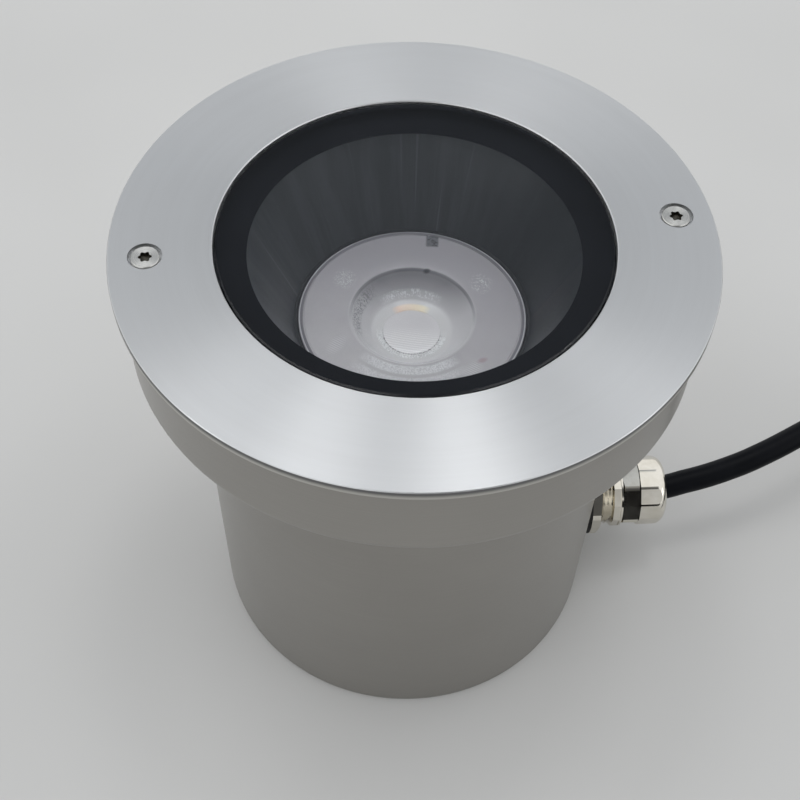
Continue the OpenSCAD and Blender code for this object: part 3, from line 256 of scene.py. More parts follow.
def core_line(side, rise):
    """One insulated core out of the cut sheath: it starts in the sheath's bundle, spreads along the eased run
    3f^2 - 2f^3 and comes to rest on the floor."""
    length, bundle, spread, level = 0.024, 0.001708, 0.0034, CORE_RADIUS + 2 * HAIR
    f = np.array([0, 0.06, 0.2, 0.36, 0.52, 0.68, 0.84, 0.94, 1])
    g = f * f * (3 - 2 * f)
    along = 2 * HAIR + length * f
    across = side * (bundle + spread * g)
    points = TAIL_END * [1, 1, 0] + END_HEADING * along[:, None] + END_SIDE * across[:, None]
    points[:, 2] = (TAIL_END[2] + rise * bundle) * (1 - g) + level * g
    return smooth_line(points, 0.0006)


def strand_tip(name, start, body):
    """A bare tip: seven strands, one straight in the middle and six laid round it, each at
    centre + 0.53 mm (cos, sin) of an angle that grows by a full turn in 11 mm. They are cut to three lengths."""
    length, radius, lay, pitch, shorter = 0.007, 0.00027, 0.00053, 0.011, 0.0002
    upright = np.array([0, 0, 1.0])
    s = np.linspace(0, length, 30)
    a = np.linspace(0, 2 * np.pi, 8, endpoint=False)[None, :, None]
    around = radius * (np.cos(a) * END_SIDE + np.sin(a) * upright)
    points, faces, count = [], [], 0
    for k in range(7):
        turn = (k * np.pi / 3 + s * 2 * np.pi / pitch)[:, None]
        away = (END_SIDE * np.cos(turn) + upright * np.sin(turn)) * (0 if k == 6 else lay)
        centre = start + END_HEADING * np.minimum(s, length - shorter * (k % 3))[:, None] + away
        strand = np.vstack([(centre[:, None] + around).reshape(-1, 3), centre[0], centre[-1]])
        faces += [kind + count for kind in (ring_faces(len(s), a.size), *end_faces(len(s), a.size))]
        points.append(strand)
        count += len(strand)
    return put_mesh(name, np.vstack(points), faces, body)


end_pieces = []
for core, side, rise in (("live", -0.87, -0.5), ("neutral", 0, 1), ("earth", 0.87, -0.5)):
    line = core_line(side, rise)
    sleeve = tube("end_sleeve_" + core, line, CORE_RADIUS, 24, "housing", 0.00015)
    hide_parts("end_core_" + core)
    tip = strand_tip("end_tip_" + core, line[-1] + END_HEADING * HAIR, "housing")
    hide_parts("end_core_tips")
    end_pieces += [sleeve, tip]


# ---------------------------------------------------------------- glass border and lens

def border_ring():
    """The black border as a thin flat ring, fired a hair's breadth into the glass's underside: a rectangle of
    14.8 by 0.32 mm turned about the axis."""
    inner, outer, low, high = 0.050, 0.0648, 0.1644, 0.16472
    profile = [[inner, low], [outer, low], [outer, high], [inner, high]]
    return turned("glass_border", profile, 256, "cover", hollow=True)


# The lens's heights are in millimetres, as its profile is, and its beads in metres
LENS_TOP = 134.3
LENS_FOOT = 100.3
BEADS = 72
BEAD_CIRCLE = 0.0099
BEAD_WIDTH = 0.0006
BEAD_HEIGHT = 0.00016


def lens_piece():
    """The moulded lens. From the axis outwards its face has the well's floor, a dome of 1 mm; a ring of beads; the
    well's shoulder; the bowl, z = -0.5 - 7.15 (1 - (1 - s)^1.3) with s from its step down to its foot; the step; the
    flat face with a fine groove; and the rim. Below, the body narrows as 9.8 + 24.6 b^0.62 to the foot, and a
    pocket takes the light source. The beads fade out towards the far half."""
    r = np.linspace(0, 9.1, 9)
    s = np.linspace(1, 0, 16)
    b = np.linspace(1, 0, 20)
    well = np.stack([r, -7.5 - (r / 9.4) ** 2], -1)
    shoulder = [[9.3, -8.55], [9.6, -8.5], [9.9, -8.42], [10.2, -8.36], [10.5, -8.3], [11, -8.15], [11.6, -7.95],
                [12.2, -7.77]]
    bowl = np.stack([19.55 - 6.88 * s, -0.5 - 7.15 * (1 - (1 - s) ** 1.3)], -1)
    face_and_rim = [[20.1, -0.22], [20.63, 0], [24, 0], [28, 0], [32, 0], [34.2, 0], [34.32, -0.22], [34.62, -0.22],
                    [34.74, 0], [35.8, 0], [36.05, -0.07], [36.2, -0.3], [36.2, -2.6], [34.42, -2.6]]
    body = np.stack([9.8 + 24.6 * b ** 0.62, LENS_FOOT - LENS_TOP + 31.4 * b], -1)
    pocket = [[7.6, -34], [7.2, -30], [6.4, -27.4], [5.2, -25.9], [3, -25.2], [0, -25]]
    face = np.vstack([well, shoulder, bowl, face_and_rim])
    profile = 0.001 * (np.vstack([face, body[1:], pocket]) + [0, LENS_TOP])
    upper = np.arange(len(profile) - 2)[:, None] < len(face) - 1

    def beads(r, a):
        """A wave of BEADS crests round the axis, a little uneven, on the bead circle of the upper face alone."""
        circle = np.clip(1 - np.abs(r - BEAD_CIRCLE) / BEAD_WIDTH, 0, 1)
        wave = np.cos(BEADS * a + 2 * np.sin(5 * a))
        return upper * BEAD_HEIGHT * circle * wave * np.clip(0.2 - np.sin(a), 0, 1)

    return turned("lens_optic", profile, 8 * BEADS, "housing", beads)


glass_border = border_ring()
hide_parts("glass_print")
lens_optic = lens_piece()
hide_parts("lens")


# ---------------------------------------------------------------- materials

NOISE_RUN = (0.3, 0.7)  # holds nearly all of a noise's values


class Finish:
    """A material made of nodes on Object coordinates."""

    def __init__(self, name):
        self.material = bpy.data.materials.new(name)
        self.material.use_nodes = True
        self.tree = self.material.node_tree
        self.tree.nodes.clear()
        self.output = self.node("ShaderNodeOutputMaterial")
        self.place = self.node("ShaderNodeTexCoord").outputs["Object"]

    def node(self, kind, **settings):
        made = self.tree.nodes.new(kind)
        for key, value in settings.items():
            setattr(made, key, value)
        return made

    def join(self, out, into):
        self.tree.links.new(out, into)

    def put(self, socket, value):
        """Links a socket to another, or sets it to a plain value."""
        if isinstance(value, bpy.types.NodeSocket):
            self.join(value, socket)
        else:
            socket.default_value = value

    def math(self, kind, a, b=0.0):
        made = self.node("ShaderNodeMath", operation=kind)
        self.put(made.inputs[0], a)
        self.put(made.inputs[1], b)
        return made.outputs[0]

    def vector(self, kind, a, b=(0, 0, 0)):
        made = self.node("ShaderNodeVectorMath", operation=kind)
        self.put(made.inputs[0], a)
        self.put(made.inputs[1], b)
        return made.outputs["Value"] if kind in ("LENGTH", "DOT_PRODUCT") else made.outputs["Vector"]

    def scaled(self, vector, factors):
        return self.vector("MULTIPLY", vector, factors)

    def split(self, vector):
        made = self.node("ShaderNodeSeparateXYZ")
        self.put(made.inputs[0], vector)
        return made.outputs

    def merge(self, x, y, z):
        made = self.node("ShaderNodeCombineXYZ")
        for socket, value in zip(made.inputs, (x, y, z)):
            self.put(socket, value)
        return made.outputs[0]

    def noise(self, vector, scale, detail, rough=0.5):
        made = self.node("ShaderNodeTexNoise")
        self.put(made.inputs["Vector"], self.place if vector is None else vector)
        made.inputs["Scale"].default_value = scale
        made.inputs["Detail"].default_value = detail
        made.inputs["Roughness"].default_value = rough
        return made.outputs["Fac"]

    def cells(self, scale, vector=None, feature="F1", out="Distance"):
        made = self.node("ShaderNodeTexVoronoi", feature=feature)
        self.put(made.inputs["Vector"], self.place if vector is None else vector)
        made.inputs["Scale"].default_value = scale
        return made.outputs[out]

    def spread(self, value, low, high, to_low, to_high):
        """A value from low..high laid out evenly on to_low..to_high."""
        made = self.node("ShaderNodeMapRange", clamp=True)
        for socket, number in zip(made.inputs, (value, low, high, to_low, to_high)):
            self.put(socket, number)
        return made.outputs[0]

    def blend(self, share, first, second):
        made = self.node("ShaderNodeMix", data_type="RGBA")
        self.put(made.inputs[0], share)
        for socket, colour in zip((made.inputs[6], made.inputs[7]), (first, second)):
            self.put(socket, colour if isinstance(colour, bpy.types.NodeSocket) else (*colour, 1))
        return made.outputs[2]

    def tone(self, value, low, high, first, second):
        """The first colour where a value is low, the second where it is high."""
        return self.blend(self.spread(value, low, high, 0.0, 1.0), first, second)

    def bump(self, height, distance, strength, under=None):
        made = self.node("ShaderNodeBump")
        made.inputs["Strength"].default_value = strength
        made.inputs["Distance"].default_value = distance
        self.put(made.inputs["Height"], height)
        if under is not None:
            self.put(made.inputs["Normal"], under)
        return made.outputs[0]

    def rounds(self, centre, pitch, drift):
        """Turning marks: noise over the distance from an axis along Z, that changes slowly round the axis."""
        x, y, _ = self.split(self.vector("SUBTRACT", self.place, centre))
        radius = self.vector("LENGTH", self.merge(x, y, 0.0))
        return self.scaled(self.merge(radius, x, y), (1 / pitch, drift, drift))

    def shade(self, **sockets):
        """The Principled shader with its sockets set or linked by name."""
        made = self.node("ShaderNodeBsdfPrincipled")
        names = {"colour": "Base Color", "metal": "Metallic", "rough": "Roughness", "ior": "IOR", "normal": "Normal",
                 "gloss": "Specular IOR Level", "drawn": "Anisotropic", "tangent": "Tangent", "coat": "Coat Weight",
                 "coat_rough": "Coat Roughness", "clear": "Transmission Weight"}
        for key, value in sockets.items():
            self.put(made.inputs[names[key]], (*value, 1) if key == "colour" and isinstance(value, tuple) else value)
        return made.outputs[0]

    def done(self, shader):
        self.join(shader, self.output.inputs["Surface"])
        return self.material

    def surface(self, **sockets):
        """The finished material, with nothing but the Principled shader."""
        return self.done(self.shade(**sockets))

    def lit_through(self, body, tint):
        """The finished material, which lets lamp light through to what lies under it: for shadows it is only tinted."""
        through = self.node("ShaderNodeBsdfTransparent")
        through.inputs["Color"].default_value = (*tint, 1)
        mix = self.node("ShaderNodeMixShader")
        self.join(self.node("ShaderNodeLightPath").outputs["Is Shadow Ray"], mix.inputs[0])
        self.join(body, mix.inputs[1])
        self.join(through.outputs[0], mix.inputs[2])
        return self.done(mix.outputs[0])


def turned_steel(name, centre=(0, 0, 0), pale=(0.645, 0.655, 0.665), deep=(0.615, 0.622, 0.63), rough=(0.34, 0.39),
                 wall=None, socket=None):
    """Satin steel turned on a lathe: very fine marks run round the axis, so light spreads out along the radius. A piece
    with a wall has it duller outside that radius, with painted shade along its upper edge and warm grey below. A piece
    with a socket has painted shade inside that radius, below its face."""
    f = Finish(name)
    marks = f.noise(f.rounds(centre, 0.00010, 60), 1.0, 3.0, 0.6)
    bands = f.noise(f.rounds(centre, 0.0022, 10), 1.0, 2.0, 0.5)
    cloud = f.noise(None, 22, 3, 0.5)
    x, y, z = f.split(f.vector("SUBTRACT", f.place, centre))
    level = f.merge(x, y, 0.0)
    radius = f.vector("LENGTH", level)
    turning = f.math("ADD", f.math("MULTIPLY", marks, 0.6), f.math("MULTIPLY", bands, 0.4))
    colour = f.tone(turning, *NOISE_RUN, deep, pale)
    colour = f.blend(f.spread(cloud, 0.35, 0.7, 0.0, 0.16), colour, (0.53, 0.53, 0.53))
    metal = 1.0
    if wall:
        outside = f.spread(radius, wall - 0.00012, wall - 0.00004, 0.0, 1.0)
        # Painted shade: the wall is dark along its upper edge and warm grey, like the housing, below
        side = f.tone(z, 0.1717, 0.1730, (0.42, 0.41, 0.38), (0.10, 0.10, 0.10))
        colour = f.blend(outside, colour, side)
        metal = f.math("SUBTRACT", 1.0, f.math("MULTIPLY", outside, 0.7))
    if socket:
        # Painted shade: the socket is dark inside its radius, below the screw's face
        below = f.spread(z, SCREW_TOP - 0.0002, SCREW_TOP - 0.00005, 1.0, 0.0)
        inside = f.math("MULTIPLY", f.spread(radius, socket, socket + 0.0001, 1.0, 0.0), below)
        colour = f.blend(inside, colour, (0.11, 0.105, 0.09))
    roughness = f.spread(f.math("ADD", marks, f.math("MULTIPLY", cloud, 0.4)), 0.45, 0.95, *rough)
    return f.surface(colour=colour, metal=metal, rough=roughness, drawn=0.88, tangent=f.vector("NORMALIZE", level),
                     normal=f.bump(marks, 0.0000015, 0.35, f.bump(bands, 0.000002, 0.2)))


def satin_housing():
    """Warm grey satin metal on the collar and the can, turned: its marks run round the axis, level by level."""
    f = Finish("housing_satin_grey")
    lines = f.noise(f.scaled(f.place, (12, 12, 1 / 0.00022)), 1.0, 3, 0.6)
    grain = f.noise(None, 2600, 2, 0.6)
    cloud = f.noise(None, 18, 3, 0.5)
    colour = f.tone(lines, *NOISE_RUN, (0.283, 0.271, 0.250), (0.318, 0.304, 0.281))
    colour = f.blend(f.spread(cloud, 0.4, 0.7, 0.0, 0.35), colour, (0.262, 0.250, 0.230))
    rough = f.spread(f.math("ADD", lines, grain), 0.6, 1.4, 0.36, 0.46)
    return f.surface(colour=colour, metal=0.85, rough=rough, drawn=0.45, tangent=(0, 0, 1), coat=0.35,
                     coat_rough=0.18, normal=f.bump(lines, 0.000004, 0.5, f.bump(grain, 0.000004, 0.4)))


def clear_glass():
    """Toughened glass: clear, with a faint unevenness and a little dust."""
    f = Finish("glass_clear")
    wave = f.noise(None, 14, 1, 0.4)
    dust = f.noise(None, 900, 2, 0.7)
    body = f.shade(colour=(0.955, 0.962, 0.970), clear=1.0, ior=1.5, gloss=0.2, normal=f.bump(wave, 0.00002, 0.25),
                   rough=f.spread(dust, 0.5, 0.8, 0.0, 0.02))
    return f.lit_through(body, (0.90, 0.93, 0.935))


def moulded_lens_acrylic():
    """Narrow-beam lens of clear acrylic that looks milky from above: a quarter of it lets light through, the rest
    scatters it. By distance from the axis it is pale with fine curved lines on the well's floor, white with beads round
    it, grey in the bowl, and lavender grey on the flat face. Much of that colour is painted light, as the clear lens
    would show it: paler towards the near side, a painted highlight on the near beads with painted shade at their foot,
    painted shade on the bowl's far side and at its step, a painted image of the light source as a cream crescent at the
    floor's edge, painted shade of a notch at the far edge with a painted reflection of it in the bowl, and painted
    highlights, glints and reflections in arcs, patches and slanted lines on the flat face."""
    f = Finish("lens_moulded_acrylic")
    x, y, _ = f.split(f.place)
    flat = f.merge(x, y, 0.0)
    radius = f.vector("LENGTH", flat)
    angle = f.math("ARCTAN2", y, x)
    cloud = f.noise(None, 90, 3, 0.6)
    flow = f.noise(f.rounds((0, 0, 0), 0.0009, 30), 1.0, 2, 0.5)

    def both(*shares):
        out = shares[0]
        for share in shares[1:]:
            out = f.math("MULTIPLY", out, share)
        return out

    def facets(scale, place):
        """A tone of its own for each small cell."""
        return f.vector("DOT_PRODUCT", f.cells(scale, place, out="Color"), (0.4, 0.3, 0.3))

    def within(edge, soft):
        """1 up to a distance from the axis, easing to 0 over a short way."""
        return f.spread(radius, edge, edge + soft, 1.0, 0.0)

    def ring(inner, outer, soft):
        """1 between two distances from the axis, easing to 0 over a short way."""
        return both(f.spread(radius, inner - soft, inner, 0.0, 1.0), within(outer, soft))

    def sector(middle, half, soft):
        """1 within an angle of a direction, easing to 0."""
        off = f.vector("DOT_PRODUCT", f.vector("NORMALIZE", flat), toward(np.radians(middle)))
        return f.spread(off, float(np.cos(half + soft)), float(np.cos(half)), 0.0, 1.0)

    def spot(px, py, wide, deep, turn=0.0):
        """1 in the middle of a turned oval, easing to 0 at its edge."""
        c, s = float(np.cos(turn)), float(np.sin(turn))
        off = f.vector("SUBTRACT", flat, (px, py, 0))
        along = f.math("DIVIDE", f.vector("DOT_PRODUCT", off, (c, s, 0)), wide)
        across = f.math("DIVIDE", f.vector("DOT_PRODUCT", off, (-s, c, 0)), deep)
        return f.spread(f.vector("LENGTH", f.merge(along, across, 0.0)), 0.4, 1.0, 1.0, 0.0)

    def near(value, centre, inner, outer):
        """1 within a distance of a value, easing to 0."""
        return f.spread(f.math("ABSOLUTE", f.math("SUBTRACT", value, centre)), inner, outer, 1.0, 0.0)

    glint, fine = facets(1500, flat), facets(3200, flat)
    tiny = facets(3000, f.merge(f.math("MULTIPLY", angle, 0.014), f.math("MULTIPLY", radius, 0.8), 0.0))
    # Painted light: a share that grows towards the front, where the flat face, the bowl and the shoulder are painted
    # paler
    front = f.spread(y, -0.030, 0.026, 1.0, 0.0)
    near_half = f.spread(y, 0.001, -0.003, 0.0, 1.0)
    far_side_shade = f.spread(y, 0.0035, 0.0150, 0.0, 1.0)
    floor_edge, shoulder_foot, bowl_edge, groove = 0.0090, 0.0112, 0.0193, 0.0345

    # The flat face, palest in front on the left: painted light
    colour = f.blend(front, (0.45, 0.428, 0.458), (0.66, 0.632, 0.645))
    colour = f.blend(both(front, f.spread(x, -0.028, 0.0, 0.30, 0.0)), colour, (0.95, 0.92, 0.93))
    colour = f.blend(f.spread(cloud, 0.35, 0.7, 0.0, 0.25), colour, (0.44, 0.424, 0.455))

    # The bowl: painted shade on its far side, darkest at its outer part, paler in front as painted light, and a painted
    # shadow at its step on the far side; dark speckles in an arc on the left and pale dots in a far arc
    bowl = f.blend(within(0.0135, 0.0050), (0.26, 0.252, 0.275), (0.55, 0.53, 0.56))
    bowl = f.blend(far_side_shade, (0.74, 0.72, 0.745), bowl)
    bowl = f.blend(f.math("MULTIPLY", front, 0.7), bowl, (0.90, 0.88, 0.89))
    colour = f.blend(within(bowl_edge, 0.0013), colour, bowl)
    step_shadow = both(ring(0.0194, 0.0199, 0.0003), f.spread(y, -0.004, 0.010, 0.0, 0.7))
    colour = f.blend(step_shadow, colour, (0.14, 0.138, 0.155))
    speckle = both(ring(0.0168, 0.0184, 0.0009), sector(170, 0.36, 0.30), f.spread(fine, 0.44, 0.60, 0.0, 0.55))
    colour = f.blend(speckle, colour, (0.14, 0.14, 0.15))
    far_arc = both(ring(0.0138, 0.0152, 0.0006), sector(94, 0.50, 0.28), f.spread(tiny, 0.57, 0.63, 0.3, 1.0))
    colour = f.blend(far_arc, colour, (0.92, 0.92, 0.94))

    # The well: its shoulder, paler in front as painted light; the beads round its floor, with a painted highlight on
    # the near half and painted shade at their foot; and the floor with fine curved lines
    shoulder = f.blend(front, (0.74, 0.72, 0.73), (0.84, 0.83, 0.83))
    colour = f.blend(within(shoulder_foot, 0.0030), colour, shoulder)
    # Painted highlight: the near beads are white
    bead = f.tone(tiny, 0.40, 0.52, (0.74, 0.73, 0.74), (1.0, 1.0, 1.0))
    colour = f.blend(both(ring(0.0094, 0.0113, 0.0003), near_half), colour, bead)
    bead_foot_shade = both(ring(0.0091, 0.0094, 0.0001), near_half, f.spread(tiny, 0.36, 0.50, 1.0, 0.35))
    colour = f.blend(bead_foot_shade, colour, (0.09, 0.088, 0.09))
    from_curve = f.vector("LENGTH", f.vector("SUBTRACT", flat, (0.004, 0.030, 0)))
    ripple = f.math("SINE", f.math("MULTIPLY", from_curve, 7600))
    lines = both(f.spread(ripple, -0.6, 0.6, 0.0, 1.0), f.spread(y, 0.0015, -0.003, 0.0, 1.0))
    floor = f.blend(lines, (0.86, 0.83, 0.85), (0.98, 0.965, 0.97))
    colour = f.blend(within(floor_edge, 0.0003), colour, floor)

    # A painted image of the light source, as the clear lens shows it: a cream crescent at the far side of the floor
    source = f.tone(x, -0.004, 0.005, (1.0, 0.76, 0.62), (1.0, 0.90, 0.64))
    colour = f.blend(both(ring(0.0092, 0.0109, 0.0007), sector(93, 0.40, 0.24)), colour, source)

    # Painted highlights and reflections on the flat face: bright arcs in front, patches of glints, slanted lines and a
    # faint reddish spot
    for away, width, share in ((0.0226, 0.0013, 0.75), (0.0268, 0.0010, 0.5)):
        highlight_arc = both(ring(away - width, away + width, 0.0006), sector(-91, 0.52, 0.22), share)
        colour = f.blend(highlight_arc, colour, f.tone(fine, 0.35, 0.60, (0.70, 0.69, 0.71), (0.97, 0.97, 0.98)))
    painted_glints = f.spread(fine, 0.60, 0.68, 0.0, 0.9)
    for px, py in ((-0.0223, 0.0140), (0.0217, 0.0140), (-0.0165, -0.0246)):
        colour = f.blend(both(spot(px, py, 0.0042, 0.0050), painted_glints), colour, (0.80, 0.79, 0.82))
    slant_reflection = f.math("SINE", f.math("MULTIPLY", f.vector("DOT_PRODUCT", flat, (0.5, 0.866, 0)), 8200))
    slant_reflection = f.spread(slant_reflection, 0.1, 0.8, 0.0, 0.7)
    for px, py in ((-0.0233, -0.0135), (0.0192, -0.0214)):
        colour = f.blend(both(spot(px, py, 0.0050, 0.0028, 1.0), slant_reflection), colour, (0.86, 0.86, 0.87))
    # Painted reflection: a faint reddish spot among the slanted lines
    colour = f.blend(both(spot(0.0222, -0.0175, 0.0022, 0.0012, 0.5), 0.35), colour, (0.40, 0.20, 0.20))

    # Painted shade of a notch at the far edge, a bright line past it, and a dark dot in the bowl before it, the notch's
    # painted reflection
    notch_x, notch_y = 0.0057, 0.0321
    notch_shade = both(near(x, notch_x, 0.0017, 0.0023), near(y, notch_y, 0.0023, 0.0029), 0.9)
    colour = f.blend(notch_shade, colour, f.tone(glint, 0.3, 0.6, (0.055, 0.055, 0.062), (0.17, 0.17, 0.185)))
    notch_line = both(near(x, notch_x, 0.0012, 0.0016), f.spread(y, 0.0343, 0.0345, 0.0, 1.0),
                     f.spread(y, 0.0354, 0.0357, 1.0, 0.0))
    colour = f.blend(notch_line, colour, (0.93, 0.93, 0.94))
    # Painted reflection of the notch: a dark dot in the bowl
    colour = f.blend(spot(0.0042, 0.0192, 0.0015, 0.0008), colour, (0.06, 0.06, 0.07))

    # Dark beyond the groove, and a painted highlight along the rim's edge, brightest to left and right
    colour = f.blend(f.spread(radius, groove, groove + 0.0004, 0.0, 1.0), colour, (0.24, 0.23, 0.255))
    rim_highlight = both(ring(0.0356, 0.0359, 0.0001), f.spread(f.math("ABSOLUTE", x), 0.008, 0.030, 0.25, 0.8))
    colour = f.blend(rim_highlight, colour, (0.70, 0.69, 0.72))

    height = f.math("ADD", f.math("MULTIPLY", ripple, 0.08), f.math("MULTIPLY", glint, 0.6))
    height = f.math("ADD", f.math("MULTIPLY", flow, 0.3), height)
    body = f.shade(colour=colour, clear=0.25, ior=1.49, rough=f.spread(cloud, *NOISE_RUN, 0.14, 0.26),
                   normal=f.bump(height, 0.00003, 0.3))
    return f.lit_through(body, (0.5, 0.5, 0.51))


def border_enamel():
    """Black enamel fired on the glass's back: even, with fine pinholes."""
    f = Finish("border_enamel")
    pores = f.cells(1400)
    cloud = f.noise(None, 40, 2, 0.5)
    colour = f.tone(cloud, 0.35, 0.7, (0.0095, 0.0102, 0.0130), (0.0120, 0.0128, 0.0162))
    return f.surface(colour=colour, rough=f.spread(pores, 0.0, 0.6, 0.62, 0.5), gloss=0.0,
                     normal=f.bump(pores, 0.000003, 0.3))


def seal_rubber():
    """Matte black silicone with a fine moulded grain."""
    f = Finish("seal_rubber")
    grain = f.noise(None, 2200, 3, 0.6)
    cloud = f.noise(None, 120, 2, 0.5)
    colour = f.tone(cloud, 0.35, 0.7, (0.010, 0.010, 0.010), (0.020, 0.019, 0.018))
    return f.surface(colour=colour, rough=f.spread(grain, *NOISE_RUN, 0.62, 0.78), gloss=0.25,
                     normal=f.bump(grain, 0.00002, 0.5))


def cast_aluminium():
    """Plain cast aluminium: a soft pebbled skin with a few darker patches."""
    f = Finish("aluminium_cast")
    pebble = f.cells(900, feature="SMOOTH_F1")
    cloud = f.noise(None, 60, 4, 0.6)
    colour = f.tone(cloud, *NOISE_RUN, (0.50, 0.50, 0.49), (0.63, 0.63, 0.62))
    return f.surface(colour=colour, metal=1.0, rough=f.spread(pebble, 0.0, 0.5, 0.42, 0.55),
                     normal=f.bump(pebble, 0.00003, 0.5))


def zinc_plate():
    """Zinc-plated steel: bright crystals of slightly different grey."""
    f = Finish("zinc_plate")
    crystal = f.vector("DOT_PRODUCT", f.cells(1500, out="Color"), (0.33, 0.33, 0.34))
    colour = f.tone(crystal, 0.2, 0.8, (0.60, 0.60, 0.57), (0.72, 0.72, 0.71))
    return f.surface(colour=colour, metal=1.0, rough=f.spread(crystal, 0.2, 0.8, 0.24, 0.38),
                     normal=f.bump(f.noise(None, 3000, 2), 0.000005, 0.5))


def cone_grey():
    """Dark grey semi-gloss cone with faint streaks that run down its slope, the pale bluish ones painted reflections of
    the lamps. It has painted shade on the gland's side.
    """
    f = Finish("cone_dark_grey")
    x, y, z = f.split(f.place)
    ux, uy, _ = f.split(f.vector("NORMALIZE", f.merge(x, y, 0.0)))
    slope = f.merge(ux, uy, z)
    streaks = f.noise(f.scaled(slope, (9, 9, 22)), 1.0, 3, 0.6)
    fine = f.noise(f.scaled(slope, (60, 60, 60)), 1.0, 2, 0.6)
    drawn = f.noise(f.scaled(slope, (34, 34, 9)), 1.0, 1, 0.4)
    grain = f.noise(None, 1800, 2, 0.6)
    colour = f.tone(streaks, 0.4, 0.72, (0.041, 0.043, 0.047), (0.062, 0.065, 0.071))
    # Painted reflection: pale bluish streaks down the slope
    colour = f.blend(f.spread(drawn, 0.70, 0.78, 0.0, 0.5), colour, (0.11, 0.115, 0.125))
    # Painted shade: darker on the gland's side
    colour = f.blend(f.spread(ux, 0.30, 0.85, 0.0, 0.85), colour, (0.010, 0.011, 0.013))
    colour = f.blend(f.spread(fine, 0.5, 0.75, 0.0, 0.4), colour, (0.031, 0.033, 0.036))
    return f.surface(colour=colour, rough=f.spread(grain, *NOISE_RUN, 0.30, 0.40), gloss=0.35,
                     normal=f.bump(fine, 0.00001, 0.3, f.bump(grain, 0.000006, 0.4)))


def matte_moulding(name, dark, pale, scale=1400, rough=(0.5, 0.62), depth=0.00001, gloss=0.5):
    """Moulded plastic: a fine spark-eroded grain and slow changes of tone."""
    f = Finish(name)
    grain = f.noise(None, scale, 3, 0.65)
    colour = f.tone(f.noise(None, 70, 2, 0.5), *NOISE_RUN, dark, pale)
    return f.surface(colour=colour, rough=f.spread(grain, *NOISE_RUN, *rough), gloss=gloss,
                     normal=f.bump(grain, depth, 0.5))


def phosphor_cells():
    """Yellow phosphor in silicone over rows of chips that show as slightly darker squares."""
    f = Finish("phosphor_yellow")
    x, y, _ = f.split(f.scaled(f.place, (700, 700, 0)))
    chips = f.math("MULTIPLY", f.math("PINGPONG", x, 0.5), f.math("PINGPONG", y, 0.5))
    chips = f.spread(chips, 0.03, 0.12, 0.0, 1.0)
    colour = f.blend(chips, (0.86, 0.72, 0.30), (0.90, 0.80, 0.42))
    return f.surface(colour=colour, rough=f.spread(f.noise(None, 900, 2), *NOISE_RUN, 0.35, 0.5),
                     normal=f.bump(chips, 0.00003, 0.4))


def plain_brass():
    """Brass with faint turning marks and brown spots of tarnish."""
    f = Finish("brass_plain")
    tarnish = f.noise(None, 300, 4, 0.7)
    scratch = f.noise(f.scaled(f.place, (400, 400, 5000)), 1.0, 2, 0.5)
    colour = f.blend(f.spread(tarnish, 0.45, 0.75, 0.0, 0.7), (0.78, 0.60, 0.27), (0.52, 0.36, 0.14))
    return f.surface(colour=colour, metal=1.0, rough=f.spread(scratch, *NOISE_RUN, 0.24, 0.38),
                     normal=f.bump(scratch, 0.000006, 0.4))


def nickel_plate():
    """Polished nickel over turned and milled brass: nearly a mirror, warm, with very fine marks round the gland's
    axis."""
    f = Finish("nickel_polished")
    _, y, z = f.split(f.place)
    reach = f.vector("DOT_PRODUCT", f.place, toward(GLAND_ANGLE))
    marks = f.noise(f.scaled(f.merge(reach, y, z), (1 / 0.00016, 30, 30)), 1.0, 2, 0.6)
    cloud = f.noise(None, 160, 3, 0.6)
    colour = f.tone(cloud, 0.35, 0.7, (0.70, 0.665, 0.585), (0.78, 0.75, 0.68))
    return f.surface(colour=colour, metal=1.0, rough=f.spread(f.math("ADD", marks, cloud), 0.7, 1.3, 0.05, 0.10),
                     normal=f.bump(marks, 0.0000012, 0.4, f.bump(cloud, 0.000006, 0.2)))


def cable_rubber():
    """Black rubber sheath: a slight sheen, a fine grain and a little chalky bloom."""
    f = Finish("cable_rubber_black")
    grain = f.noise(None, 1500, 3, 0.6)
    bloom = f.noise(None, 90, 3, 0.6)
    colour = f.tone(bloom, 0.4, 0.75, (0.0022, 0.0028, 0.0044), (0.0044, 0.0051, 0.0072))
    return f.surface(colour=colour, rough=f.spread(f.math("ADD", grain, bloom), 0.7, 1.3, 0.36, 0.50), gloss=0.08,
                     normal=f.bump(grain, 0.00001, 0.4))


def core_sleeve(name, dark, pale):
    """PVC sleeve of a core: a soft gloss and slow changes of tone."""
    f = Finish(name)
    grain = f.noise(None, 3000, 2, 0.5)
    return f.surface(colour=f.tone(f.noise(None, 260, 2, 0.5), *NOISE_RUN, dark, pale),
                     rough=f.spread(grain, *NOISE_RUN, 0.32, 0.44), normal=f.bump(grain, 0.000006, 0.4))


def earth_sleeve():
    """Green sleeve with slanted yellow bands: a sine over x + y and height."""
    f = Finish("sleeve_green_yellow")
    wave = f.noise(None, 120, 1, 0.4)
    stripe = f.math("SINE", f.vector("DOT_PRODUCT", f.place, (900, 900, 1500)))
    colour = f.tone(f.math("ADD", stripe, wave), 0.55, 0.75, (0.05, 0.32, 0.07), (0.75, 0.62, 0.05))
    return f.surface(colour=colour, rough=f.spread(f.noise(None, 3000, 2), *NOISE_RUN, 0.32, 0.44),
                     normal=f.bump(wave, 0.00001, 0.2))


def copper_strand():
    """Bare copper, slightly browned in places."""
    f = Finish("copper_bare")
    tarnish = f.noise(None, 1200, 3, 0.6)
    colour = f.tone(tarnish, 0.4, 0.7, (0.86, 0.48, 0.30), (0.62, 0.31, 0.17))
    return f.surface(colour=colour, metal=1.0, rough=f.spread(tarnish, *NOISE_RUN, 0.22, 0.36),
                     normal=f.bump(tarnish, 0.000008, 0.4))


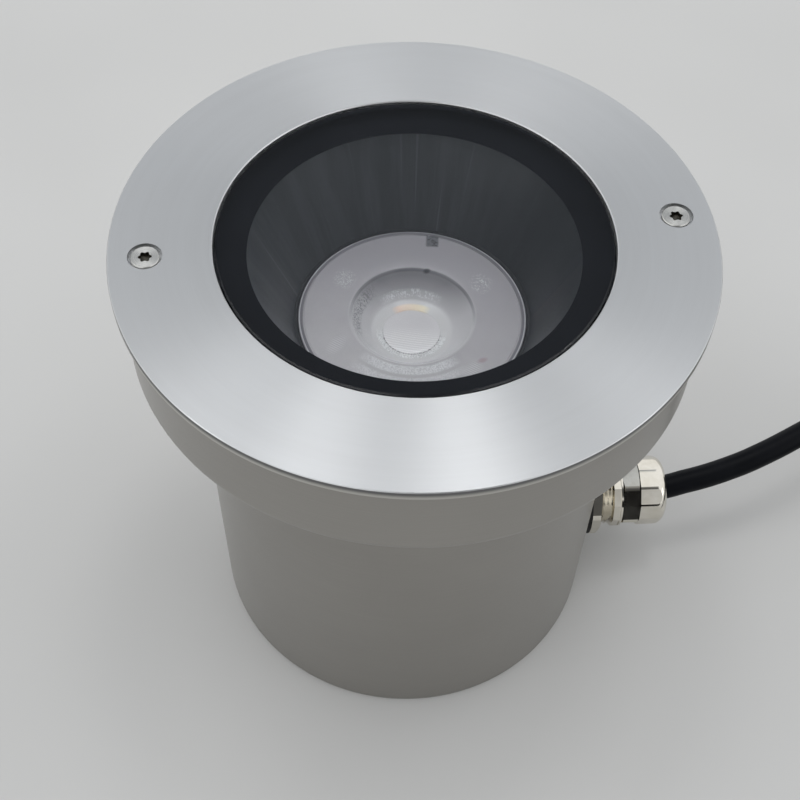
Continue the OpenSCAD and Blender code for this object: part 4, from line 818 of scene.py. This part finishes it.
def dress(pieces, material):
    """Gives the pieces this material in every slot that they have."""
    for piece in pieces:
        piece = NODE[piece] if isinstance(piece, str) else piece
        if not piece.material_slots:
            piece.data.materials.append(material)
        for s in piece.material_slots:
            s.material = material


for screw, out in (("east", 1), ("west", -1)):
    centre = toward(TRIM_SCREW_ANGLE, out * TRIM_SCREW_RADIUS)
    steel = turned_steel("screw_" + screw + "_steel", centre, (0.66, 0.655, 0.63), (0.58, 0.575, 0.55), (0.24, 0.32),
                         socket=SOCKET_RADIUS)
    dress(["trim_screw_" + screw], steel)
dress(["trim_ring"], turned_steel("ring_turned_steel", wall=RING_OUTSIDE))
dress(["glass"], clear_glass())
dress([glass_border], border_enamel())
dress(["glass_gasket", "can_gasket", "gland_gasket", "gland_seal"], seal_rubber())
dress(["collar", "can"], satin_housing())
dress(["seat_ring", "heat_sink"], cast_aluminium())
dress(["seat_screws", "holder_screws", "board_screws", "sink_screws", "driver_screws"], zinc_plate())
dress(["reflector_cone"], cone_grey())
dress([lens_optic], moulded_lens_acrylic())
dress(["led_emitter"], phosphor_cells())
dress(["terminal_screws", "earth_tag", "earth_screw"], plain_brass())
dress(["gland_locknut", "gland_adapter", "gland_body", "gland_nut"], nickel_plate())
dress([supply_cable, cable_stub], cable_rubber())
dress([p for p in end_pieces if p.name.startswith("end_tip")], copper_strand())

for pieces, name, dark, pale, grain in (
        (["lens_holder", "driver_cover"], "holder_dark_grey", (0.012, 0.012, 0.014), (0.018, 0.018, 0.020),
         {"gloss": 0.25}),
        (["led_board"], "board_white_mask", (0.78, 0.78, 0.76), (0.86, 0.86, 0.84),
         {"scale": 900, "rough": (0.3, 0.4), "depth": 0.000005}),
        (["thermal_pad"], "pad_grey", (0.30, 0.33, 0.36), (0.38, 0.41, 0.44),
         {"scale": 1600, "rough": (0.6, 0.75), "depth": 0.00002}),
        (["driver_case", "terminal_block"], "case_white", (0.72, 0.72, 0.70), (0.80, 0.80, 0.78), {}),
        (["coil_tie"], "tie_black_nylon", (0.012, 0.012, 0.013), (0.020, 0.020, 0.021),
         {"scale": 800, "rough": (0.34, 0.46)})):
    dress(pieces, matte_moulding(name, dark, pale, **grain))

for pieces, name, dark, pale in (
        (["core_live", "driver_lead_live", bpy.data.objects["end_sleeve_live"]],
         "sleeve_brown", (0.050, 0.021, 0.009), (0.075, 0.032, 0.014)),
        (["core_neutral", "driver_lead_neutral", bpy.data.objects["end_sleeve_neutral"]],
         "sleeve_blue", (0.010, 0.045, 0.26), (0.016, 0.065, 0.34)),
        (["led_lead_red"], "sleeve_red", (0.40, 0.012, 0.010), (0.52, 0.02, 0.015)),
        (["led_lead_black"], "sleeve_black", (0.010, 0.010, 0.011), (0.018, 0.018, 0.019))):
    dress(pieces, core_sleeve(name, dark, pale))
dress(["core_earth", bpy.data.objects["end_sleeve_earth"]], earth_sleeve())


# ---------------------------------------------------------------- floor and light

def pale_table():
    """A plain pale table: a flat sheet whose tone drifts a little."""
    half, steps = 3, 12
    u = np.linspace(-half, half, steps + 1)
    gx, gy = np.meshgrid(u, u, indexing="ij")
    points = np.stack([gx, gy, np.zeros_like(gx)], -1).reshape(-1, 3)
    i, j = np.meshgrid(np.arange(steps), np.arange(steps), indexing="ij")
    a = i * (steps + 1) + j
    faces = np.stack([a, a + steps + 1, a + steps + 2, a + 1], -1).reshape(-1, 4)
    mesh = bpy.data.meshes.new("table")
    mesh.from_pydata(points.tolist(), [], faces.tolist())
    table = bpy.data.objects.new("table", mesh)
    bpy.context.scene.collection.objects.link(table)
    f = Finish("table_pale")
    grain = f.noise(None, 900, 2, 0.6)
    colour = f.tone(f.noise(None, 5, 2, 0.5), *NOISE_RUN, (0.56, 0.56, 0.553), (0.60, 0.60, 0.593))
    dress([table], f.surface(colour=colour, rough=0.7, gloss=0.2, normal=f.bump(grain, 0.00001, 0.2)))


def soft_lamp(name, place, aim, size, power):
    """A square soft lamp that faces a point."""
    lamp = bpy.data.lights.new(name, "AREA")
    lamp.size = size
    lamp.energy = power
    made = bpy.data.objects.new(name, lamp)
    made.location = place
    made.rotation_euler = (Vector(aim) - Vector(place)).to_track_quat("-Z", "Y").to_euler()
    bpy.context.scene.collection.objects.link(made)


def room_light(strength, seen, wall, low, onlooker):
    """Grey light from all round, of a strength that falls to a share of it in three places: where the room has its
    back wall, round a line 45 degrees above +Y, where it is cooler too; and on the gland's side of -Y low down, round
    a line 3 degrees above the floor, and where the onlooker stands, round a line 50 degrees above it. Each place
    eases in with the cosine of the angle from its line. Seen straight, as past the table's end, the room is pale."""
    world = bpy.data.worlds.new("room")
    world.use_nodes = True
    bpy.context.scene.world = world
    tree = world.node_tree
    ground = tree.nodes["Background"]
    sight = tree.nodes.new("ShaderNodeTexCoord").outputs["Generated"]

    def eased(share, rise, heading, outer, inner):
        """The share within the inner cosine of a line, easing to 1 at the outer."""
        rise, heading = np.radians(rise), np.radians(heading)
        line = np.array([np.cos(rise) * np.cos(heading), np.cos(rise) * np.sin(heading), np.sin(rise)])
        nearness = tree.nodes.new("ShaderNodeVectorMath")
        nearness.operation = "DOT_PRODUCT"
        nearness.inputs[1].default_value = line.tolist()
        tree.links.new(sight, nearness.inputs[0])
        ease = tree.nodes.new("ShaderNodeMapRange")
        ease.interpolation_type = "SMOOTHSTEP"
        for socket, number in zip(list(ease.inputs)[1:5], (outer, inner, 1.0, share)):
            socket.default_value = number
        tree.links.new(nearness.outputs["Value"], ease.inputs[0])
        return ease.outputs[0]

    at_wall = eased(wall, 45, 90, 0.945, 0.985)
    light = at_wall
    for factor in (strength, eased(low, 3, -73, 0.88, 0.97), eased(onlooker, 50, -76, 0.90, 0.985)):
        product = tree.nodes.new("ShaderNodeMath")
        product.operation = "MULTIPLY"
        tree.links.new(light, product.inputs[0])
        if isinstance(factor, float):
            product.inputs[1].default_value = factor
        else:
            tree.links.new(factor, product.inputs[1])
        light = product.outputs[0]

    straight = tree.nodes.new("ShaderNodeMix")
    tree.links.new(tree.nodes.new("ShaderNodeLightPath").outputs["Is Camera Ray"], straight.inputs[0])
    tree.links.new(light, straight.inputs[2])
    straight.inputs[3].default_value = seen
    tree.links.new(straight.outputs[0], ground.inputs["Strength"])
    cool = tree.nodes.new("ShaderNodeMix")
    cool.data_type = "RGBA"
    tree.links.new(at_wall, cool.inputs[0])
    cool.inputs[6].default_value, cool.inputs[7].default_value = (0.80, 0.91, 1.04, 1), (0.98, 0.99, 1, 1)
    tree.links.new(cool.outputs[2], ground.inputs["Color"])


pale_table()
room_light(strength=1.03, seen=0.62, wall=0.24, low=0.01, onlooker=0.07)
for name, place, aim_height, size, power in (
        ("lamp_above_right", (0.19, 0.32, 1.75), 0.12, 0.30, 1.95),
        ("lamp_above_left", (-0.30, 0.34, 1.75), 0.12, 0.30, 1.45),
        ("lamp_back_left", (-0.69, 0.45, 1.57), 0.12, 0.36, 0.85),
        ("lamp_back_right", (0.78, 0.53, 1.51), 0.12, 0.36, 0.70),
        ("lamp_low_right", (1.30, -0.35, 0.45), 0.10, 0.40, 0.6),
        ("lamp_low_left", (-1.25, -0.60, 0.45), 0.10, 0.40, 0.9)):
    soft_lamp(name, place, (0, 0, aim_height), size, power)

view = bpy.context.scene.view_settings
view.view_transform = "Standard"
